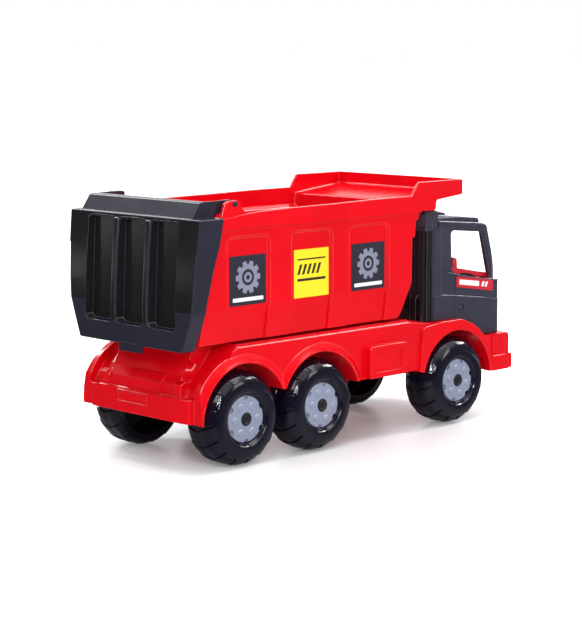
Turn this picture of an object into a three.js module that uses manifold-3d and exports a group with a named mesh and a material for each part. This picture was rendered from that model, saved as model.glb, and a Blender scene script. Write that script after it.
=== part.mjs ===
// Push-along toy tipper truck with three axles, in moulded plastic.
// Millimetres, +X forward, +Y left, +Z up. It is modelled with the rear axle at x = 0 and the
// ground at z = 0, then shifted so that the origin is the bottom centre of the whole truck.
import * as THREE from "three";
import { mergeVertices } from "three/addons/utils/BufferGeometryUtils.js";
import Module from "manifold-3d";

const wasm = await Module();
wasm.setup();

// ---------------------------------------------------------------- driving dimensions
const FRONT_X = 437.5;           // foremost point of the bumper
const REAR_X = -76;              // rearmost point, the tab of the tailgate
const ORIGIN_X = (FRONT_X + REAR_X) / 2;
const AXLES = { rear: 0, middle: 112, front: 335 };
const AXLE_Z = 50.8;             // wheel centre height
const AXLE_R = 2.5;
const AXLE_END_Y = 94.3;
const WALL = 3;                  // moulded wall thickness
const GAP = 0.3;                 // clearance between neighbouring pieces
const WELL_Y = 54.5;             // inner wall of the wheel wells
const DECK_Z = 129.5;            // top of the chassis deck
const BED_Z = 132.5;             // underside of the dump bed
const BED_PIVOT = [-32, 119];    // tipping rod of the bed (x, z)
const BED_ROD_R = 2;
const GATE_PIVOT = [-14, 277];   // tailgate pins (x, z)
const GATE_PIN_R = 2.9;
const SIDES = { right: -1, left: 1 };  // sign of y
const CORNER_STEPS = 4;          // segments in a rounded corner

const MATERIALS = {
  red: new THREE.MeshStandardMaterial({ color: 0xd80a18, roughness: 0.32, metalness: 0 }),
  graphite: new THREE.MeshStandardMaterial({ color: 0x33343d, roughness: 0.45, metalness: 0 }),
  black: new THREE.MeshStandardMaterial({ color: 0x141519, roughness: 0.35, metalness: 0 }),
  grey: new THREE.MeshStandardMaterial({ color: 0x9aa0b2, roughness: 0.5, metalness: 0 }),
  steel: new THREE.MeshStandardMaterial({ color: 0xb8bcc2, roughness: 0.3, metalness: 1 }),
  darkLabel: new THREE.MeshStandardMaterial({ color: 0x2b2a35, roughness: 0.4, metalness: 0 }),
  yellowLabel: new THREE.MeshStandardMaterial({ color: 0xf6dc1e, roughness: 0.4, metalness: 0 }),
  redLabel: new THREE.MeshStandardMaterial({ color: 0xcf1424, roughness: 0.4, metalness: 0 }),
};

// ---------------------------------------------------------------- helpers
// A range is [from, to]. Outline points are [u, v], or [u, v, radius] for a rounded corner.
function signedVolume(positions, indices) {
  const corner = (i) => new THREE.Vector3().fromArray(positions, indices[i] * 3);
  let sum = 0;
  for (let i = 0; i < indices.length; i += 3)
    sum += corner(i).dot(corner(i + 1).cross(corner(i + 2)));
  return sum / 6;
}

// Weld a closed geometry, drop collapsed triangles and turn it to face outward.
function solid(geometry) {
  const bare = geometry.clone();
  for (const name of Object.keys(bare.attributes))
    if (name !== "position") bare.deleteAttribute(name);
  const welded = mergeVertices(bare, 1e-4);
  const vertProperties = Float32Array.from(welded.attributes.position.array);
  const source = welded.index.array;
  const kept = [];
  for (let i = 0; i < source.length; i += 3) {
    const [a, b, c] = source.slice(i, i + 3);
    if (a !== b && b !== c && a !== c) kept.push(a, b, c);
  }
  const triVerts = Uint32Array.from(kept);
  if (signedVolume(vertProperties, triVerts) < 0)
    for (let i = 0; i < triVerts.length; i += 3)
      [triVerts[i + 1], triVerts[i + 2]] = [triVerts[i + 2], triVerts[i + 1]];
  return new wasm.Manifold(new wasm.Mesh({ numProp: 3, vertProperties, triVerts }));
}

function rounded(outline) {
  return outline.flatMap(([u, v, wanted], i) => {
    const corner = new THREE.Vector2(u, v);
    if (!wanted) return [corner];
    const before = new THREE.Vector2(...outline.at(i - 1).slice(0, 2)).sub(corner);
    const after = new THREE.Vector2(...outline[(i + 1) % outline.length].slice(0, 2)).sub(corner);
    const longest = [before.length() * 0.49, after.length() * 0.49];
    before.normalize();
    after.normalize();
    const half = Math.acos(Math.max(-1, Math.min(1, before.dot(after)))) / 2;
    const setback = Math.min(wanted / Math.tan(half), ...longest);
    const radius = setback * Math.tan(half);
    const bisector = before.clone().add(after).normalize();
    const centre = corner.clone().addScaledVector(bisector, radius / Math.sin(half));
    const start = corner.clone().addScaledVector(before, setback).sub(centre);
    const end = corner.clone().addScaledVector(after, setback).sub(centre);
    const startAngle = Math.atan2(start.y, start.x);
    let sweep = Math.atan2(end.y, end.x) - startAngle;
    while (sweep > Math.PI) sweep -= 2 * Math.PI;
    while (sweep < -Math.PI) sweep += 2 * Math.PI;
    return Array.from({ length: CORNER_STEPS + 1 }, (_, k) => {
      const angle = startAngle + (sweep * k) / CORNER_STEPS;
      return new THREE.Vector2(
        centre.x + radius * Math.cos(angle), centre.y + radius * Math.sin(angle));
    });
  });
}

function prism(outline, depth) {
  return new THREE.ExtrudeGeometry(
    new THREE.Shape(rounded(outline)), { depth, bevelEnabled: false, steps: 1 });
}

// side outline (x, z) swept across y
function side(outline, [y0, y1]) {
  return solid(prism(outline, y1 - y0).rotateX(Math.PI / 2).translate(0, y1, 0));
}

// cross-section (y, z) swept along x
function section(outline, [x0, x1]) {
  const toSection = new THREE.Matrix4().set(0, 0, 1, x0, 1, 0, 0, 0, 0, 1, 0, 0, 0, 0, 0, 1);
  return solid(prism(outline, x1 - x0).applyMatrix4(toSection));
}

// plan outline (x, y) raised along z
function plan(outline, [z0, z1]) {
  return solid(prism(outline, z1 - z0).translate(0, 0, z0));
}

function block({ x: [x0, x1], y: [y0, y1], z: [z0, z1] }) {
  return solid(new THREE.BoxGeometry(x1 - x0, y1 - y0, z1 - z0)
    .translate((x0 + x1) / 2, (y0 + y1) / 2, (z0 + z1) / 2));
}

// rod along y
function rod([x, z], radius, [y0, y1], segments = 24) {
  return solid(new THREE.CylinderGeometry(radius, radius, y1 - y0, segments)
    .rotateY(Math.PI / segments)
    .translate(x, (y0 + y1) / 2, z));
}

// y range that reaches equally to both sides
const across = (half) => [-half, half];
// y range on one side, given as distances outward from the mid-plane
const outward = (sign, [inner, outer]) => (sign < 0 ? [-outer, -inner] : [inner, outer]);
// the same feature on the right and on the left
const both = (make) => make(SIDES.right).add(make(SIDES.left));
const sidePair = (outline, range) => both((sign) => side(outline, outward(sign, range)));
const blockPair = ({ x, y, z }) => both((sign) => block({ x, y: outward(sign, y), z }));
const rodPair = (centre, radius, range, segments) =>
  both((sign) => rod(centre, radius, outward(sign, range), segments));
// full cross-section from its left half [y, z], listed from the bottom up
const symmetric = (half) => [...half, ...half.slice().reverse().map(([y, z]) => [-y, z])];

// solid through clockwise (x, z) outlines of equal length, at stations of rising y
function loft(stations) {
  const count = stations[0].outline.length;
  const positions = stations.flatMap(({ y, outline }) => outline.flatMap(([x, z]) => [x, y, z]));
  const indices = [];
  for (let s = 0; s + 1 < stations.length; s++)
    for (let i = 0; i < count; i++) {
      const a = s * count + i;
      const b = s * count + ((i + 1) % count);
      indices.push(a, b, b + count, a, b + count, a + count);
    }
  const capTriangles = ({ outline }) =>
    THREE.ShapeUtils.triangulateShape(outline.map(([x, z]) => new THREE.Vector2(x, z)), []);
  const last = (stations.length - 1) * count;
  for (const [a, b, c] of capTriangles(stations[0])) indices.push(a, b, c);
  for (const [a, b, c] of capTriangles(stations.at(-1)))
    indices.push(last + a, last + c, last + b);
  const geometry = new THREE.BufferGeometry();
  geometry.setAttribute("position", new THREE.Float32BufferAttribute(positions, 3));
  geometry.setIndex(indices);
  return solid(geometry);
}

const truck = new THREE.Group();
const frame = new THREE.Group();
frame.position.set(-ORIGIN_X, 0, 0);
truck.add(frame);

function addPiece(name, body, material) {
  const { vertProperties, triVerts } = body.getMesh();
  const geometry = new THREE.BufferGeometry();
  geometry.setAttribute(
    "position", new THREE.BufferAttribute(Float32Array.from(vertProperties), 3));
  geometry.setIndex(Array.from(triVerts));
  geometry.computeVertexNormals();
  const mesh = new THREE.Mesh(geometry, material);
  mesh.name = name;
  frame.add(mesh);
}

// ---------------------------------------------------------------- chassis shell
const SHELL_Y = 95;              // chassis side wall
const LIP_Y = 98.5;              // outer face of the fender lips
const ARCH_R = 59;               // wheel well radius
const ARCH_SEGMENTS = 48;
const LIP_RING = { innerY: 88, innerR: 66, outerR: 60.2, halfLength: 60.5, topZ: 112.6 };
const DECK_EDGE_DROP = 3.5;      // bevel along the deck edge
const DECK_FRONT_X = 255;

// (x, z): step under the cab, front fender, bumper
const NOSE = [
  [290, 122], [342, 121], [360, 114], [372, 106], [384, 97.5], [428, 97.5],
  [431, 95.5], [431.4, 72], [437.4, 71], [FRONT_X, 54], [398, 54],
];
const MIDDLE_OUTLINE = [
  [-58, 52], [-60, 76], [-59, 87], [-51, 97], [-41.6, 115], [-36, DECK_Z - 1], [-34, DECK_Z],
  [DECK_FRONT_X, DECK_Z], ...NOSE, [398, 62], [60, 62], [-40, 56],
];
const flankOutline = (deckRearX, deckZ) => [
  [-59.5, 52], [-57, 68], [-50, 83.5], [-41, 95], [-29, 105.5], [-16, 122], [deckRearX, deckZ],
  [DECK_FRONT_X, deckZ], ...NOSE, [398, 70], [60, 70], [-40, 70],
];
// (x, y) plans
const REAR_BUMPER = [
  [-66, -70], [-64, -82, 3], [-52, -84], [-52, 84], [-64, 82, 3], [-66, 70],
];
const FRONT_BUMPER = [
  [400, -96.2], [424, -96.2, 4], [431.5, -82, 10],
  [431.5, 82, 10], [424, 96.2, 4], [400, 96.2],
];
const FRONT_BUMPER_FOOT = [
  [400, -97.6], [430, -97.6, 4], [437.8, -82, 10],
  [437.8, 82, 10], [430, 97.6, 4], [400, 97.6],
];
const PLAN_TRIM = [
  [-70, -110], [428, -110], [430.5, -97], [FRONT_X, -83, 8],
  [FRONT_X, 83, 8], [430.5, 97], [428, 110], [-70, 110],
];
// (x, z) side outlines
const FRONT_FENDER = [
  [272, 68], [277, 118, 4], [310, 121.7], [342.4, 121.7], [360.6, 114.8],
  [372.8, 106.9], [388, 93], [395, 75], [399, 54.6], [335, 54.6],
];
const LOCKER = [[184, 71], [184, 107, 3], [243, 107, 3], [243, 71]];
const LOCKER_RECESS = [[193, 77, 2], [193, 101, 2], [235, 101, 2], [235, 77, 2]];
const REAR_WELLS_LINK = [[36, 20], [36, 76, 8], [76, 76, 8], [76, 20]];
const MIDDLE_HOLLOW = [
  [-54, 30], [-55, 84], [-47, 97], [-37.5, 115], [-32.5, DECK_Z - WALL], [254, DECK_Z - WALL],
  [289, 119], [341, 118], [358, 111], [370, 103], [383, 94.5], [427, 94.5], [428, 30],
];
const axlePlate = (x) => [[x - 12, 43, 4], [x + 12, 43, 4], [x + 26, 90], [x - 26, 90]];

function fenderLips(x, bottomZ) {
  const { innerY, innerR, outerR, halfLength, topZ } = LIP_RING;
  const width = LIP_Y - innerY;
  return both((sign) => {
    const [topR, bottomR] = sign > 0 ? [outerR, innerR] : [innerR, outerR];
    const ring = new THREE.CylinderGeometry(topR, bottomR, width, ARCH_SEGMENTS)
      .translate(x, sign * (innerY + width / 2), AXLE_Z);
    return solid(ring).intersect(block({
      x: [x - halfLength, x + halfLength], y: outward(sign, [80, 100]), z: [bottomZ, topZ],
    }));
  });
}

function chassisShell() {
  const flank = flankOutline(-8, DECK_Z - DECK_EDGE_DROP);
  const shoulder = flankOutline(-6, DECK_Z);
  let shell = loft([
    { y: -SHELL_Y, outline: flank }, { y: -SHELL_Y + 5, outline: shoulder },
    { y: -57, outline: MIDDLE_OUTLINE }, { y: 57, outline: MIDDLE_OUTLINE },
    { y: SHELL_Y - 5, outline: shoulder }, { y: SHELL_Y, outline: flank },
  ]);
  shell = shell.add(plan(REAR_BUMPER, [51, 76.4]))
    .add(plan(FRONT_BUMPER, [54, 97.8]))
    .add(plan(FRONT_BUMPER_FOOT, [53.7, 71.6]))
    .add(fenderLips(AXLES.rear, 51))
    .add(fenderLips(AXLES.middle, 70))
    .add(sidePair(FRONT_FENDER, [88.6, LIP_Y]));
  // side lockers ahead of the middle axle
  shell = shell.add(sidePair(LOCKER, [88, 103])).subtract(sidePair(LOCKER_RECESS, [102, 106]));
  // the trim keeps the nose corners round
  shell = shell.intersect(plan(PLAN_TRIM, [40, 140]));
  // plates that carry the axles, then the wheel wells outside them
  for (const x of Object.values(AXLES))
    shell = shell.add(sidePair(axlePlate(x), [50, WELL_Y]));
  for (const x of Object.values(AXLES))
    shell = shell.subtract(rodPair([x, AXLE_Z], ARCH_R, [WELL_Y, 120], ARCH_SEGMENTS));
  shell = shell.subtract(sidePair(REAR_WELLS_LINK, [WELL_Y, 120]));
  // hollow from below: the middle, the skirts and the front bumper
  shell = shell.subtract(side(MIDDLE_HOLLOW, across(50)))
    .subtract(blockPair({ x: [175, 268], y: [WELL_Y, 92], z: [30, 124] }))
    .subtract(blockPair({ x: [401, 427], y: [49, 90], z: [30, 94] }));
  for (const x of Object.values(AXLES))
    shell = shell.subtract(rod([x, AXLE_Z], AXLE_R + GAP, across(60), 12));
  // ribs for the tipping rod, and slots that let the lugs of the bed through the deck
  shell = shell.add(blockPair({ x: [-41, -20], y: [39, 42], z: [110, DECK_Z - 1] })
    .intersect(sidePair(MIDDLE_OUTLINE, [38, 43])));
  shell = shell.subtract(rod(BED_PIVOT, BED_ROD_R + GAP, across(47)))
    .subtract(blockPair({ x: [-60, -20], y: [27, 35], z: [111, 140] }));
  // rest pads for the bed
  for (const x of [30, 225])
    shell = shell.add(
      blockPair({ x: [x - 12, x + 12], y: [56, 64], z: [DECK_Z - 2, BED_Z - GAP] }));
  return shell;
}

addPiece("chassis_shell", chassisShell(), MATERIALS.red);
addPiece("bed_hinge_rod", rod(BED_PIVOT, BED_ROD_R, across(46)), MATERIALS.steel);

// ---------------------------------------------------------------- cab
const CAB_Y = 88;                // outer face of the cab sides
const CAB_X = [290, 440];        // x range of the cab cross-sections
// (x, z) side outlines
const CAB_OUTLINE = [
  [301, 122.3], [301, 229], [313, 229], [311.5, 243.7, 1.5], [389, 236.3, 3], [391, 231.5],
  [397, 230, 3], [416, 163], [422, 161, 2], [426, 98], [384.4, 98], [372.4, 106.6],
  [360.3, 114.5], [342.2, 121.5],
];
const CAB_CAVITY = [
  [304, 80], [304, 226], [316, 227], [315, 238], [386, 231.5], [388, 227.5],
  [394.5, 226.5], [412.5, 161], [419, 158.5], [423, 80],
];
const SIDE_WINDOW = [[334.5, 225.4, 5], [388, 220.3, 7], [405.4, 163.9, 4], [337, 176.8, 10]];
const WINDSCREEN = [[384, 222], [404, 222], [421, 169], [400, 169]];
const GRILLE = [[423.4, 152], [430, 152], [434, 106], [424.6, 106]];
const CAB_DECAL = [[343, 158.6], [343, 171.2], [408.5, 162], [408.5, 148.6]];
// left halves of the cross-sections (y, z)
const CAB_HALF = [[CAB_Y, 90], [CAB_Y, 226], [84, 231], [81, 250]];
const CAB_CAVITY_HALF = [[CAB_Y - WALL, 70], [CAB_Y - WALL, 224], [78, 228], [78, 250]];
const GRILLE_Y = 62;
const GRILLE_BARS_Z = [113, 122, 131, 140];
const GRILLE_BAR_HEIGHT = 3;

function cabShell() {
  const outside = side(CAB_OUTLINE, across(CAB_Y))
    .intersect(section(symmetric(CAB_HALF), CAB_X));
  const cavity = side(CAB_CAVITY, across(CAB_Y - WALL))
    .intersect(section(symmetric(CAB_CAVITY_HALF), CAB_X));
  // shallow recess that leaves the bars standing
  let grille = side(GRILLE, across(GRILLE_Y));
  for (const z of GRILLE_BARS_Z)
    grille = grille.subtract(
      block({ x: [420, 440], y: across(GRILLE_Y), z: [z, z + GRILLE_BAR_HEIGHT] }));
  return outside.subtract(cavity)
    .subtract(sidePair(SIDE_WINDOW, [78, 92]))
    .subtract(side(WINDSCREEN, across(75)))
    .subtract(grille);
}

const PANEL_BOTTOM_Z = 122.4;
const PANEL_FRONT_X = 300.6;
const INTAKE = [
  [289, PANEL_BOTTOM_Z], [289, 251, 2], [305, 251, 3], [324, 246, 3], [324, 244.2],
  [310.9, 244.4], [310.9, 229.4], [PANEL_FRONT_X, 229.4], [PANEL_FRONT_X, PANEL_BOTTOM_Z],
];

// ribbed panel and air intakes behind the cab
function cabBackPanel() {
  let panel = block({ x: [296, PANEL_FRONT_X], y: across(84), z: [PANEL_BOTTOM_Z, 232] });
  for (const y of [-70, -42, -14, 14, 42, 70])
    panel = panel.add(block({ x: [291.5, 297], y: [y - 3, y + 3], z: [PANEL_BOTTOM_Z, 228] }));
  return panel.add(sidePair(INTAKE, [74, 87]));
}

const SEAT_Y = [12, 74];
const SEAT_BACK = [[350, 125], [354, 190.5, 1.5], [360, 190.5, 1.5], [364, 125]];
const INNER_PANEL = [
  [312, 124], [312, 187.4], [408.5, 169], [409.5, 161], [398, 140], [398, 124],
];
const DASHBOARD = [[384, 124], [376, 158, 3], [392, 166, 4], [409, 162], [414, 140], [414, 124]];
const PANEL_HOLLOWS = [
  { x: 372, z: 168.5, radiusX: 15, radiusZ: 3.2 },
  { x: 399, z: 163.4, radiusX: 6.6, radiusZ: 2.2 },
];
const HOLLOW_POINTS = 14;
const HOLLOW_SLOPE = 0.19;
const STEERING = { centre: [371, 36, 158], tilt: -0.45 };

// ellipse that slopes down toward the front
function slopedEllipse({ x, z, radiusX, radiusZ }) {
  return Array.from({ length: HOLLOW_POINTS }, (_, k) => {
    const angle = (2 * Math.PI * k) / HOLLOW_POINTS;
    const alongX = Math.cos(angle) * radiusX;
    const alongZ = Math.sin(angle) * radiusZ;
    return [x + alongX + HOLLOW_SLOPE * alongZ, z + alongZ - HOLLOW_SLOPE * alongX];
  });
}

// cylinder on the steering axis; offset runs forward along the axis
function steeringPart({ radius, length, offset, segments }) {
  return solid(new THREE.CylinderGeometry(radius, radius, length, segments)
    .rotateZ(-Math.PI / 2)
    .translate(offset, 0, 0)
    .rotateY(STEERING.tilt)
    .translate(...STEERING.centre));
}

// floor, seats, side panels, dashboard and steering wheel in one moulding
function cabInterior() {
  let panels = sidePair(INNER_PANEL, [77, 80]);
  for (const hollow of PANEL_HOLLOWS)
    panels = panels.subtract(sidePair(slopedEllipse(hollow), [78.4, 81]));
  return block({ x: [312, 398], y: across(80), z: [123, 126] })
    .add(blockPair({ x: [358, 380], y: SEAT_Y, z: [125, 142] }))
    .add(sidePair(SEAT_BACK, SEAT_Y))
    .add(panels)
    .add(side(DASHBOARD, across(70)))
    .add(steeringPart({ radius: 14, length: 3.2, offset: 0, segments: 16 }))
    .subtract(steeringPart({ radius: 11, length: 2.2, offset: -1.2, segments: 16 }))
    .add(steeringPart({ radius: 2.2, length: 16, offset: 6, segments: 10 }));
}

// label just clear of a face at faceY
const decal = (outline, sign, faceY) =>
  side(outline, outward(sign, [faceY + GAP, faceY + 2 * GAP]));

addPiece("cab_shell", cabShell(), MATERIALS.graphite);
addPiece("cab_back_panel", cabBackPanel(), MATERIALS.graphite);
addPiece("cab_interior", cabInterior(), MATERIALS.red);
for (const [name, sign] of Object.entries(SIDES))
  addPiece(`cab_decal_${name}`, decal(CAB_DECAL, sign, CAB_Y), MATERIALS.redLabel);

// ---------------------------------------------------------------- dump bed
const BED_FLOOR_Z = BED_Z + WALL;
const PANEL_Y = 93.8;            // face of the sunk side panels
// (x, z) side outlines
const BED_OUTLINE = [
  [-57, BED_Z], [-55, 156], [-54, 176], [-51, 190], [-46, 212], [-38, 237], [-34, 263, 2],
  [-24, 270.5, 6], [253.5, 270.5], [255, 273, 2], [264, 285.5, 2], [339, 285.5, 2],
  [339, 268, 1], [294.6, 263.7, 1], [293, 252.4, 1], [269.4, 252.7], [267.8, 243.2],
  [263.9, 241.7], [262, 223.7], [258, 222.7], [257, 172, 20], [243, BED_Z, 6],
];
const BED_CAVITY = [
  [-80, BED_FLOOR_Z], [238, BED_FLOOR_Z, 6], [254, 174, 20], [255, 225], [259, 244],
  [261, 263.5], [336, 272, 1], [336, 300], [-80, 300],
];
const GATE_EAR = [
  [-32, 262], [-32, 266], [-27.5, 279, 3], [-21, 281, 3],
  [-8, 281, 5], [-6, 276, 4], [2, 268], [0, 262],
];
const BED_LUG = [
  [-42, BED_Z + 1], [-38, 119, 5], [-37.2, 113.8, 5.2],
  [-26.8, 113.8, 5.2], [-26, 119, 5], [-22, BED_Z + 1],
];
// left halves of the cross-sections (y, z)
const BED_HALF = [[90, BED_Z], [96.5, 170], [96.5, 250], [100, 250.5], [100, 290]];
const BED_CAVITY_HALF = [[84.2, 135], [90.8, 171], [90.8, 247], [96.8, 250], [96.8, 300]];
// closed cross-section (y, z) of what a side panel cuts away, on the left
const PANEL_CUT = [[87.3, 128], [PANEL_Y, 170], [PANEL_Y, 246], [104, 246], [104, 120]];
const PANELS_X = [[-22, 38], [70, 130], [157, 219]];
const BED_DECALS = [
  { place: "rear", x: [-18, 33], material: MATERIALS.darkLabel },
  { place: "middle", x: [74, 126], material: MATERIALS.yellowLabel },
  { place: "front", x: [162, 214], material: MATERIALS.darkLabel },
];
const BED_DECAL_Z = [170.6, 222.5];

function sunkPanels([x0, x1]) {
  const outline = [[x0, 120], [x0, 241, 6], [x1, 241, 6], [x1, 120]];
  return both((sign) => side(outline, outward(sign, [80, 101]))
    .intersect(section(PANEL_CUT.map(([y, z]) => [sign * y, z]), [x0 - 1, x1 + 1])));
}

function dumpBed() {
  let bed = side(BED_OUTLINE, across(100)).intersect(section(symmetric(BED_HALF), [-60, 345]));
  bed = bed.subtract(side(BED_CAVITY, across(100))
    .intersect(section(symmetric(BED_CAVITY_HALF), [-80, 345])));
  for (const range of PANELS_X) bed = bed.subtract(sunkPanels(range));
  return bed.add(sidePair(GATE_EAR, [96.8, 100]))
    .subtract(rod(GATE_PIVOT, GATE_PIN_R + GAP, across(110)))
    .add(sidePair(BED_LUG, [28, 34]))
    .subtract(rod(BED_PIVOT, BED_ROD_R + GAP, across(60)));
}

function bedDecal([x0, x1], sign) {
  const [z0, z1] = BED_DECAL_Z;
  return decal([[x0, z0], [x0, z1], [x1, z1], [x1, z0]], sign, PANEL_Y);
}

addPiece("dump_bed", dumpBed(), MATERIALS.red);
for (const [name, sign] of Object.entries(SIDES))
  for (const { place, x, material } of BED_DECALS)
    addPiece(`bed_decal_${name}_${place}`, bedDecal(x, sign), material);

// ---------------------------------------------------------------- tailgate
// (x, z): up the rear face, then down the edge that meets the bed
const GATE_OUTLINE = [
  [-75.7, 127], [-75.4, 149.5], [-75.3, 169], [-74.3, 191], [-71.7, 228], [-68, 264],
  [-34.6, 264], [-34.6, 263.5], [-38.6, 237], [-46.6, 212], [-51.6, 190], [-54.6, 176],
  [-55.6, 156], [-57.6, 132], [-57.8, 127],
];
const GATE_CAVITY = [
  [-72.7, 130], [-72.4, 149.5], [-72.3, 169], [-71.3, 191],
  [-68.7, 228], [-65.3, 261], [-20, 261], [-20, 130],
];
const TRAY = [[-74.5, 146], [-63, 146], [-57.5, 260.9], [-67, 260.9]];
const TRAY_OPENING = [[-90, 149], [-66, 149], [-60.5, 258], [-90, 258]];
const HINGE_CAP = [
  [-65.7, 263], [-53.6, 280, 2], [-46, 280.5], [-46, 277.5], [-52, 277], [-61.7, 263],
];
const GATE_CHEEK = [
  [-65.7, 263], [-53.6, 280, 2], [-46, 280.3], [-20, 280.8], [-14, 280.9, 3],
  [-8.5, 280.5, 3], [-8.5, 272, 3], [-14, 271.5, 2], [-33, 266], [-34.6, 262],
];
const FINGER_TAB = [[REAR_X, 120, 1], [REAR_X, 129], [-70, 129], [-70.5, 120, 1]];
// left halves of the cross-sections (y, z)
const GATE_HALF = [[84.7, 127], [93.4, 149.5], [100.4, 169], [102.3, 191], [104, 228], [105, 264]];
const GATE_CAVITY_HALF = [
  [82, 130], [90.4, 149.5], [97.3, 169], [99.3, 191], [101, 228], [101.9, 261],
];
const TRAY_PITCH = 52.3;
const TRAY_OUTER_Y = 23.3;       // half widths of a tray and of its opening
const TRAY_INNER_Y = 20.8;

function tailgate() {
  let gate = side(GATE_OUTLINE, across(105))
    .intersect(section(symmetric(GATE_HALF), [-80, -30]));
  gate = gate.subtract(side(GATE_CAVITY, across(105))
    .intersect(section(symmetric(GATE_CAVITY_HALF), [-80, -10])));
  // trays let into the back plate
  for (const y of [-TRAY_PITCH, 0, TRAY_PITCH]) {
    const opening = [y - TRAY_INNER_Y, y + TRAY_INNER_Y];
    const tray = side(TRAY, [y - TRAY_OUTER_Y, y + TRAY_OUTER_Y])
      .subtract(side(TRAY_OPENING, opening));
    gate = gate.subtract(block({ x: [-80, -60], y: opening, z: [149, 259] })).add(tray);
  }
  return gate.add(side(HINGE_CAP, across(90)))
    .add(sidePair(GATE_CHEEK, [86.6, 90.2]))
    .add(rodPair(GATE_PIVOT, GATE_PIN_R, [88, 100.9]))
    .add(side(FINGER_TAB, across(17.5)));
}

addPiece("tailgate", tailgate(), MATERIALS.graphite);

// ---------------------------------------------------------------- wheels
const WHEEL_SEGMENTS = 32;
const CAP_SEGMENTS = 16;
// corner radius that makes the flats of the tyre touch the ground
const TYRE_R = AXLE_Z / Math.cos(Math.PI / WHEEL_SEGMENTS);
const HUB_Y = 94.2;              // face of the tyre piece behind the hub disc
const DISC_Y = HUB_Y + GAP;
const CAP_Y = AXLE_END_Y + GAP;
// profiles: [radius, distance outward from the mid-plane]
const TYRE_PROFILE = [
  [AXLE_R + GAP, 64], [10, 64], [11, 80], [37, 80], [38, 58], [46, 58], [TYRE_R, 65],
  [TYRE_R, 89], [46.5, 97.5], [36, 101.2], [27.5, 100.4], [25.3, HUB_Y], [AXLE_R + GAP, HUB_Y],
];
const DISC_PROFILE = [[7.2, DISC_Y], [25, DISC_Y], [24.3, 98], [7.2, 98.4]];
const CAP_PROFILE = [[0, CAP_Y], [6.9, CAP_Y], [6.9, 98.6], [5.6, 99.8], [0, 99.8]];
const NOTCH = { count: 6, pitchR: 24.1, radius: 3.1, segments: 8 };
const PHASE = { rear: 90, middle: 82, front: 74 };  // angle of the first notch, degrees

// profile turned about y; one that starts off the axis is closed into a ring
function turned(profile, sign, segments) {
  const points = profile.map(([radius, y]) => new THREE.Vector2(radius, sign * y));
  if (profile[0][0] > 0) points.push(points[0].clone());
  return new THREE.LatheGeometry(points, segments);
}

function wheelPart(profile, x, sign) {
  return solid(turned(profile, sign, WHEEL_SEGMENTS)
    .rotateY(Math.PI / WHEEL_SEGMENTS)
    .translate(x, 0, AXLE_Z));
}

// disc with notches round its rim
function hubDisc(x, sign, phase) {
  let disc = wheelPart(DISC_PROFILE, x, sign);
  for (let k = 0; k < NOTCH.count; k++) {
    const angle = (2 * Math.PI * k) / NOTCH.count + THREE.MathUtils.degToRad(phase);
    const centre = [
      x + NOTCH.pitchR * Math.cos(angle), AXLE_Z + NOTCH.pitchR * Math.sin(angle),
    ];
    disc = disc.subtract(rod(centre, NOTCH.radius, outward(sign, [90, 105]), NOTCH.segments));
  }
  return disc;
}

function axleCap(x, sign) {
  return solid(turned(CAP_PROFILE, sign, CAP_SEGMENTS).translate(x, 0, AXLE_Z));
}

for (const [place, x] of Object.entries(AXLES)) {
  addPiece(`${place}_axle_rod`, rod([x, AXLE_Z], AXLE_R, across(AXLE_END_Y)), MATERIALS.steel);
  for (const [name, sign] of Object.entries(SIDES)) {
    addPiece(`${place}_wheel_${name}`, wheelPart(TYRE_PROFILE, x, sign), MATERIALS.black);
    addPiece(`${place}_hub_disc_${name}`, hubDisc(x, sign, PHASE[place]), MATERIALS.grey);
    addPiece(`${place}_axle_cap_${name}`, axleCap(x, sign), MATERIALS.black);
  }
}

export default truck;
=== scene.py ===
"""Looks of the push-along tipper truck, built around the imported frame.

Shapes are drawn in millimetres about the rear axle (+X forward, +Y left, +Z up) and are
brought into the row frame, in metres, when a piece is finished.
"""
import math

import bmesh
import bpy
import numpy as np
from mathutils import Matrix, Vector
from mathutils.bvhtree import BVHTree


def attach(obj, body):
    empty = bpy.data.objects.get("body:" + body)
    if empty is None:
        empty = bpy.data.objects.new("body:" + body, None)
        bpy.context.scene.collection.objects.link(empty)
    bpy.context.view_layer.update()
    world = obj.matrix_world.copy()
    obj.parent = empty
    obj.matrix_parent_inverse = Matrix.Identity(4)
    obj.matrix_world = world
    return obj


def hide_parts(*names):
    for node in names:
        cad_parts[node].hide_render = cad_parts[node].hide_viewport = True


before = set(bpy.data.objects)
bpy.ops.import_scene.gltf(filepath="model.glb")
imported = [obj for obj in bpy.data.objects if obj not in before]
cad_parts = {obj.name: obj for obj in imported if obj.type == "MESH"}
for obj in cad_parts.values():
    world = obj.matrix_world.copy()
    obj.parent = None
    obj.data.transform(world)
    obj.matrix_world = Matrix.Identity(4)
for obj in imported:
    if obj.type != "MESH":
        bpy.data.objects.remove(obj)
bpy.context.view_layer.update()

X0 = 180.75                      # rear axle to the origin, mm
AXLES = [("rear", 0.0), ("middle", 112.0), ("front", 335.0)]
AXLE_Z = 50.8
ARCH_R = 59.0
LIP = 98.5
DECK_Z = 129.5
BED_Z = 132.5
BED_PIVOT = (-32.0, 119.0)
GATE_PIVOT = (-14.0, 277.0)
WEAR_HIGHLIGHT_EDGE = 9                          # face number given to rounded edges, which get rubbed wear and a painted highlight
scene = bpy.context.scene


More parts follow.
